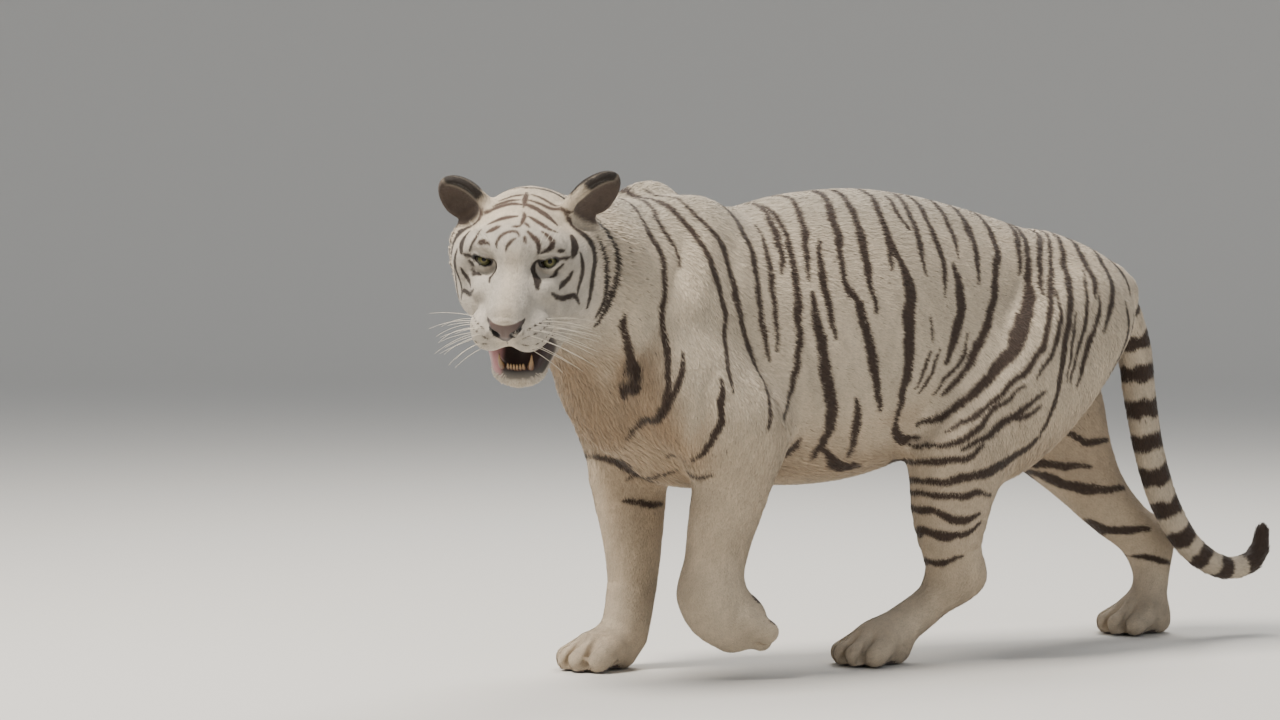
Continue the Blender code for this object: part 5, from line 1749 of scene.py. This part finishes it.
# %% Eyes
GAZE = unit((0.20, -0.88, 0.43))  # where both eyes look, in the head's frame
PUPIL, IRIS = 0.24, 0.74  # angles from the middle of the pupil to its edge and to the iris's, in radians
IRIS_INNER, IRIS_OUTER, EYE_WHITE = (linear(c) for c in ("#6a6236", "#3f4026", "#2a231d"))
EYE_SPOKES = 72  # points round the eyeball
eye_finish = tinted("glass_eye", 0.40, 700.0, 0.00002, 0.06, Coat_Weight=0.7, Coat_Roughness=0.03,
                    Specular_IOR_Level=0.0)
for name, s in (("eye_left", 1), ("eye_right", -1)):
    t = np.concatenate((np.linspace(0.012, 0.90, 48), np.linspace(0.95, math.pi - 0.012, 18)))
    reach = EYE_RADIUS + 0.0011 * (1 - ease(0.40, 0.74, t))
    line = EYE_AT * (s, 1, 1) + GAZE * (reach * np.cos(t))[:, None]
    ball_of_eye = tube(line, reach * np.sin(t), EYE_SPOKES)
    angle = np.repeat(t, EYE_SPOKES)
    turn = np.tile(np.arange(EYE_SPOKES) * math.tau / EYE_SPOKES, len(t))
    spokes = 0.5 + 0.5 * np.sin(turn * 23 + 2 * np.sin(turn * 5 + s)) * np.sin(turn * 11 + 3 * angle)
    outer = ease(PUPIL, IRIS * 0.8, angle + 0.10 * spokes)
    colour = mixed(np.tile(IRIS_INNER, (len(angle), 1)), IRIS_OUTER, outer)
    colour *= (0.75 + 0.4 * spokes)[:, None]
    colour = mixed(colour, (0.012, 0.010, 0.008), ease(IRIS * 0.86, IRIS, angle))
    colour = mixed(colour, EYE_WHITE, ease(IRIS * 1.03, IRIS * 1.15, angle))
    colour = mixed(colour, (0.004, 0.004, 0.004), 1 - ease(PUPIL - 0.015, PUPIL + 0.015, angle))
    ball_name = "eyeball_" + name[4:]
    as_object(ball_name, joined(ball_name, [ball_of_eye], [colour]), eye_finish, [name])


# %% Teeth and tongue
def in_jaw(p):
    """Points measured from the hinge with the mouth shut, in the head's frame."""
    return np.asarray(p, float) @ JAW_SWING.T + JAW_HINGE


# ENAMEL, the teeth's clean colour, is dimmed as painted shade of the mouth; STAIN at their roots is their own
# stain.
ENAMEL, STAIN, TONGUE = linear("#8a6c44"), linear("#573922"), linear("#5c3833")
tooth_finish = tinted("stained_and_shaded_enamel", 0.34, 260.0, 0.00008, 0.10, Coat_Weight=0.5, Coat_Roughness=0.15)


TOOTH_RINGS = 14


def tooth(line, radii, spokes, wide=1.0):
    """A tooth from root to tip, in the jaw's frame, stained at the root and clean at the tip. Its whole
    colour is dimmed as painted shade.
    """
    part = np.linspace(0, 1, TOOTH_RINGS)
    sizes = through(np.linspace(0, 1, len(radii)), radii, part) * MM
    points, faces = tube(curve(line, TOOTH_RINGS), sizes, spokes, wide=wide)
    clean = np.repeat(ease(0.35, 0.85, part), spokes)
    return (in_jaw(points), faces), mixed(np.tile(STAIN, (len(points), 1)), ENAMEL, clean)


for name, s in (("canine_left", 1), ("canine_right", -1)):
    line = [(s * 0.0255, -0.188, -0.092), (s * 0.0275, -0.1955, -0.077), (s * 0.0300, -0.1970, -0.064),
            (s * 0.0315, -0.1935, -0.052), (s * 0.0315, -0.1895, -0.0475)]
    made, tint = tooth(line, (6.8, 7.0, 5.8, 3.2, 0.8), 20)
    as_object("tooth_" + name, joined("tooth_" + name, [made], [tint]), tooth_finish, [name])
row = []
for x in (-15.0, -9.0, -3.0, 3.0, 9.0, 15.0):
    back = 0.00022 * (abs(x) / 5) ** 2
    line = [
        (x * 0.95 * MM, -0.1990 + back, -0.083), (x * MM, -0.2035 + back, -0.072),
        (x * MM, -0.2020 + back, -0.0635),
    ]
    row.append(tooth(line, (2.4, 2.7, 1.4) if abs(x) < 12 else (2.8, 3.1, 1.5), 10, 1.1))
as_object("tooth_incisors", joined("tooth_incisors", *zip(*row)), tooth_finish, ["incisors"])

TONGUE_RINGS, TONGUE_SPOKES = 26, 32
t = np.linspace(0, 1, TONGUE_RINGS)
tongue_line = [(0, -0.050, -0.078), (0, -0.10, -0.070), (0, -0.140, -0.072), (0, -0.160, -0.078)]
line = curve(tongue_line, TONGUE_RINGS)
thick = 0.0115 * np.sin(math.pi * (0.10 + 0.86 * t)) ** 0.45
points, faces = tube(line, thick, TONGUE_SPOKES, wide=2.15)
above = points[:, 2] - np.repeat(line[:, 2], TONGUE_SPOKES)
groove = np.exp(-((points[:, 0] / 0.0045) ** 2)) * ease(0, 0.006, above)
points[:, 2] -= 0.0035 * groove
# Painted shade: the tongue is a dark reddish brown, as it lies in the mouth's shade, and its middle groove is
# a further 30% darker.
tongue_tint = np.tile(TONGUE, (len(points), 1)) * (1 - 0.3 * groove)[:, None]
tongue_finish = tinted("wet_tongue", 0.38, 900.0, 0.0004, 0.15, Coat_Weight=0.4, Coat_Roughness=0.2)
tongue_mesh = joined("tongue_wet", [(in_jaw(points), faces)], [tongue_tint])
as_object("tongue_wet", tongue_mesh, tongue_finish, ["tongue"])


# %% Whiskers and brow hairs
IVORY = linear("#d8cfbd")


WHISKER_RINGS = 10
SINK = 0.003  # how far a whisker's root goes into the skin


def whisker(root, out, droop, long):
    """A stiff hair that leaves the skin along out and bends down and back: root + long x (t out + t^2 droop).
    It is 1.2 mm thick at the root and 0.56 mm at the tip, stouter than a real one so that it can be made."""
    t = np.linspace(0, 1, WHISKER_RINGS)[:, None]
    line = root - unit(out) * SINK + long * (t * unit(out) + t * t * droop)
    points, faces = tube(line, np.linspace(0.60, 0.28, WHISKER_RINGS) * MM, 5, (0, 0, 1.0))
    return (points, faces), np.tile(IVORY, (len(points), 1))


hairs = []
for s in (1, -1):
    for number in range(len(PAD_ROWS)):
        for k, root in enumerate(laid(pad_row(s, number, np.array((0.25, 0.5, 0.75, 1.0))))):
            out = np.array((s * 0.92, 0.10 + 0.16 * k, -0.12 - 0.14 * number))
            droop = np.array((0.0, 0.16, -0.28)) + rng.normal(0, 0.06, 3)
            hairs.append(whisker(root, out, droop, rng.uniform(0.060, 0.085) + 0.012 * k))
    for root in laid([(s * 0.050, -0.010, 0.045), (s * 0.060, -0.004, 0.045), (s * 0.070, 0.0, 0.042)]):
        out = np.array((s * 0.35, -0.25, 0.80)) + rng.normal(0, 0.08, 3)
        droop = np.array((s * 0.1, 0.25, -0.05))
        hairs.append(whisker(root, out, droop, rng.uniform(0.035, 0.050)))
whisker_finish = tinted("stiff_ivory_hair", 0.40, 300.0, 0.00005, 0.08)
as_object("whiskers", joined("whiskers", *zip(*hairs)), whisker_finish)

# %% [markdown]
# ## Camera, studio and size
# The camera stands about level with the tiger's back, nine metres off its left shoulder, with a long lens,
# as someone would stand to take in the whole animal. The floor is a pale sweep that curves up into the
# background, so that there is no horizon. A warm soft key hangs high in front of the tiger, a faint cool
# fill hangs on its left, and a rim light behind it on the right draws out the line of the back.

# %% The skin, as a finished piece
skin_mesh.transform(Matrix.Translation(FRAME_SHIFT))
as_object("skin", skin_mesh, skin_finish, FLESH)

# %% Camera
TARGET = np.array((-0.062, -0.534, 0.625))
AZIMUTH, ELEVATION, DISTANCE = math.radians(58), math.radians(2.5), 9.0
away = np.array((
    math.sin(AZIMUTH) * math.cos(ELEVATION), -math.cos(AZIMUTH) * math.cos(ELEVATION), math.sin(ELEVATION)
))
lens = bpy.data.cameras.new("camera")
lens.sensor_width, lens.lens = 36.0, 126.5
camera = linked("camera", lens)
camera.location = TARGET + DISTANCE * away
camera.rotation_mode = "QUATERNION"
camera.rotation_quaternion = Vector(-away).to_track_quat("-Z", "Y")
bpy.context.scene.camera = camera


# %% Floor and sweep
FLOOR_SPOKES = 96
FLAT, RISE, WALL_TOP = 12.0, 5.0, 7.0  # metres: radius of the flat, radius of the curve, height of the wall


def sweep():
    """A disc with its edge curved up: a profile of radius and height, flat, then a quarter circle and a wall,
    turned about the middle."""
    a = np.linspace(0, math.pi / 2, 16)
    radius = np.concatenate((np.linspace(0.01, FLAT, 12), FLAT + RISE * np.sin(a)[1:], (FLAT + RISE,)))
    height = np.concatenate((np.zeros(12), RISE - RISE * np.cos(a)[1:], (WALL_TOP,)))
    turn = np.arange(FLOOR_SPOKES) * math.tau / FLOOR_SPOKES
    tall = np.tile(height[:, None], (1, FLOOR_SPOKES))
    points = np.stack((np.outer(radius, np.cos(turn)), np.outer(radius, np.sin(turn)), tall), axis=-1)
    quads = between_rings(len(radius), FLOOR_SPOKES)[:, (0, 3, 2, 1)].tolist()
    mesh = bpy.data.meshes.new("floor")
    mesh.from_pydata(points.reshape(-1, 3).tolist(), [], quads + [list(range(FLOOR_SPOKES))])
    return mesh


floor_mesh = sweep()
floor_finish, tree, shader = finish_named("pale_matt_paper", 0.85)
place = node(tree, "ShaderNodeTexCoord")
fibre = node(tree, "ShaderNodeTexNoise", [("Vector", place.outputs["Object"])], Scale=60.0, Detail=3.0)
bump = node(tree, "ShaderNodeBump", [("Height", fibre.outputs["Fac"])], Strength=0.05, Distance=0.002)
tree.links.new(bump.outputs["Normal"], shader.inputs["Normal"])
shader.inputs["Base Color"].default_value = (*linear("#d9d7d2"), 1)
floor_mesh.materials.append(floor_finish)
floor_mesh.shade_smooth()
linked("floor", floor_mesh)


# %% Lights
def lamp(name, at, size, energy, colour):
    """A square soft light that faces the tiger."""
    light = bpy.data.lights.new(name, "AREA")
    light.size, light.energy, light.color = size, energy, colour
    made = linked(name, light)
    made.location = at
    made.rotation_euler = (Vector((0, -0.2, 0.55)) - Vector(at)).to_track_quat("-Z", "Y").to_euler()


lamp("key", (-0.1, -3.5, 5.6), 2.0, 640, (1.0, 0.93, 0.84))
lamp("fill", (7.0, 0.5, 3.6), 3.0, 62, (0.90, 0.95, 1.0))
lamp("rim", (-2.5, 2.5, 5.0), 2.5, 260, (1.0, 0.96, 0.90))
world = bpy.data.worlds.new("studio")
bpy.context.scene.world = world
world.use_nodes = True
world.node_tree.nodes["Background"].inputs["Color"].default_value = (0.80, 0.84, 0.90, 1)
world.node_tree.nodes["Background"].inputs["Strength"].default_value = 0.46

# %% Size, and the end
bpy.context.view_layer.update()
sizes = {o.name: len(o.data.loops) - 2 * len(o.data.polygons) for o in bpy.data.objects if o.type == "MESH"}
print("triangles", sum(sizes[name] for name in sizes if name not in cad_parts), sizes)
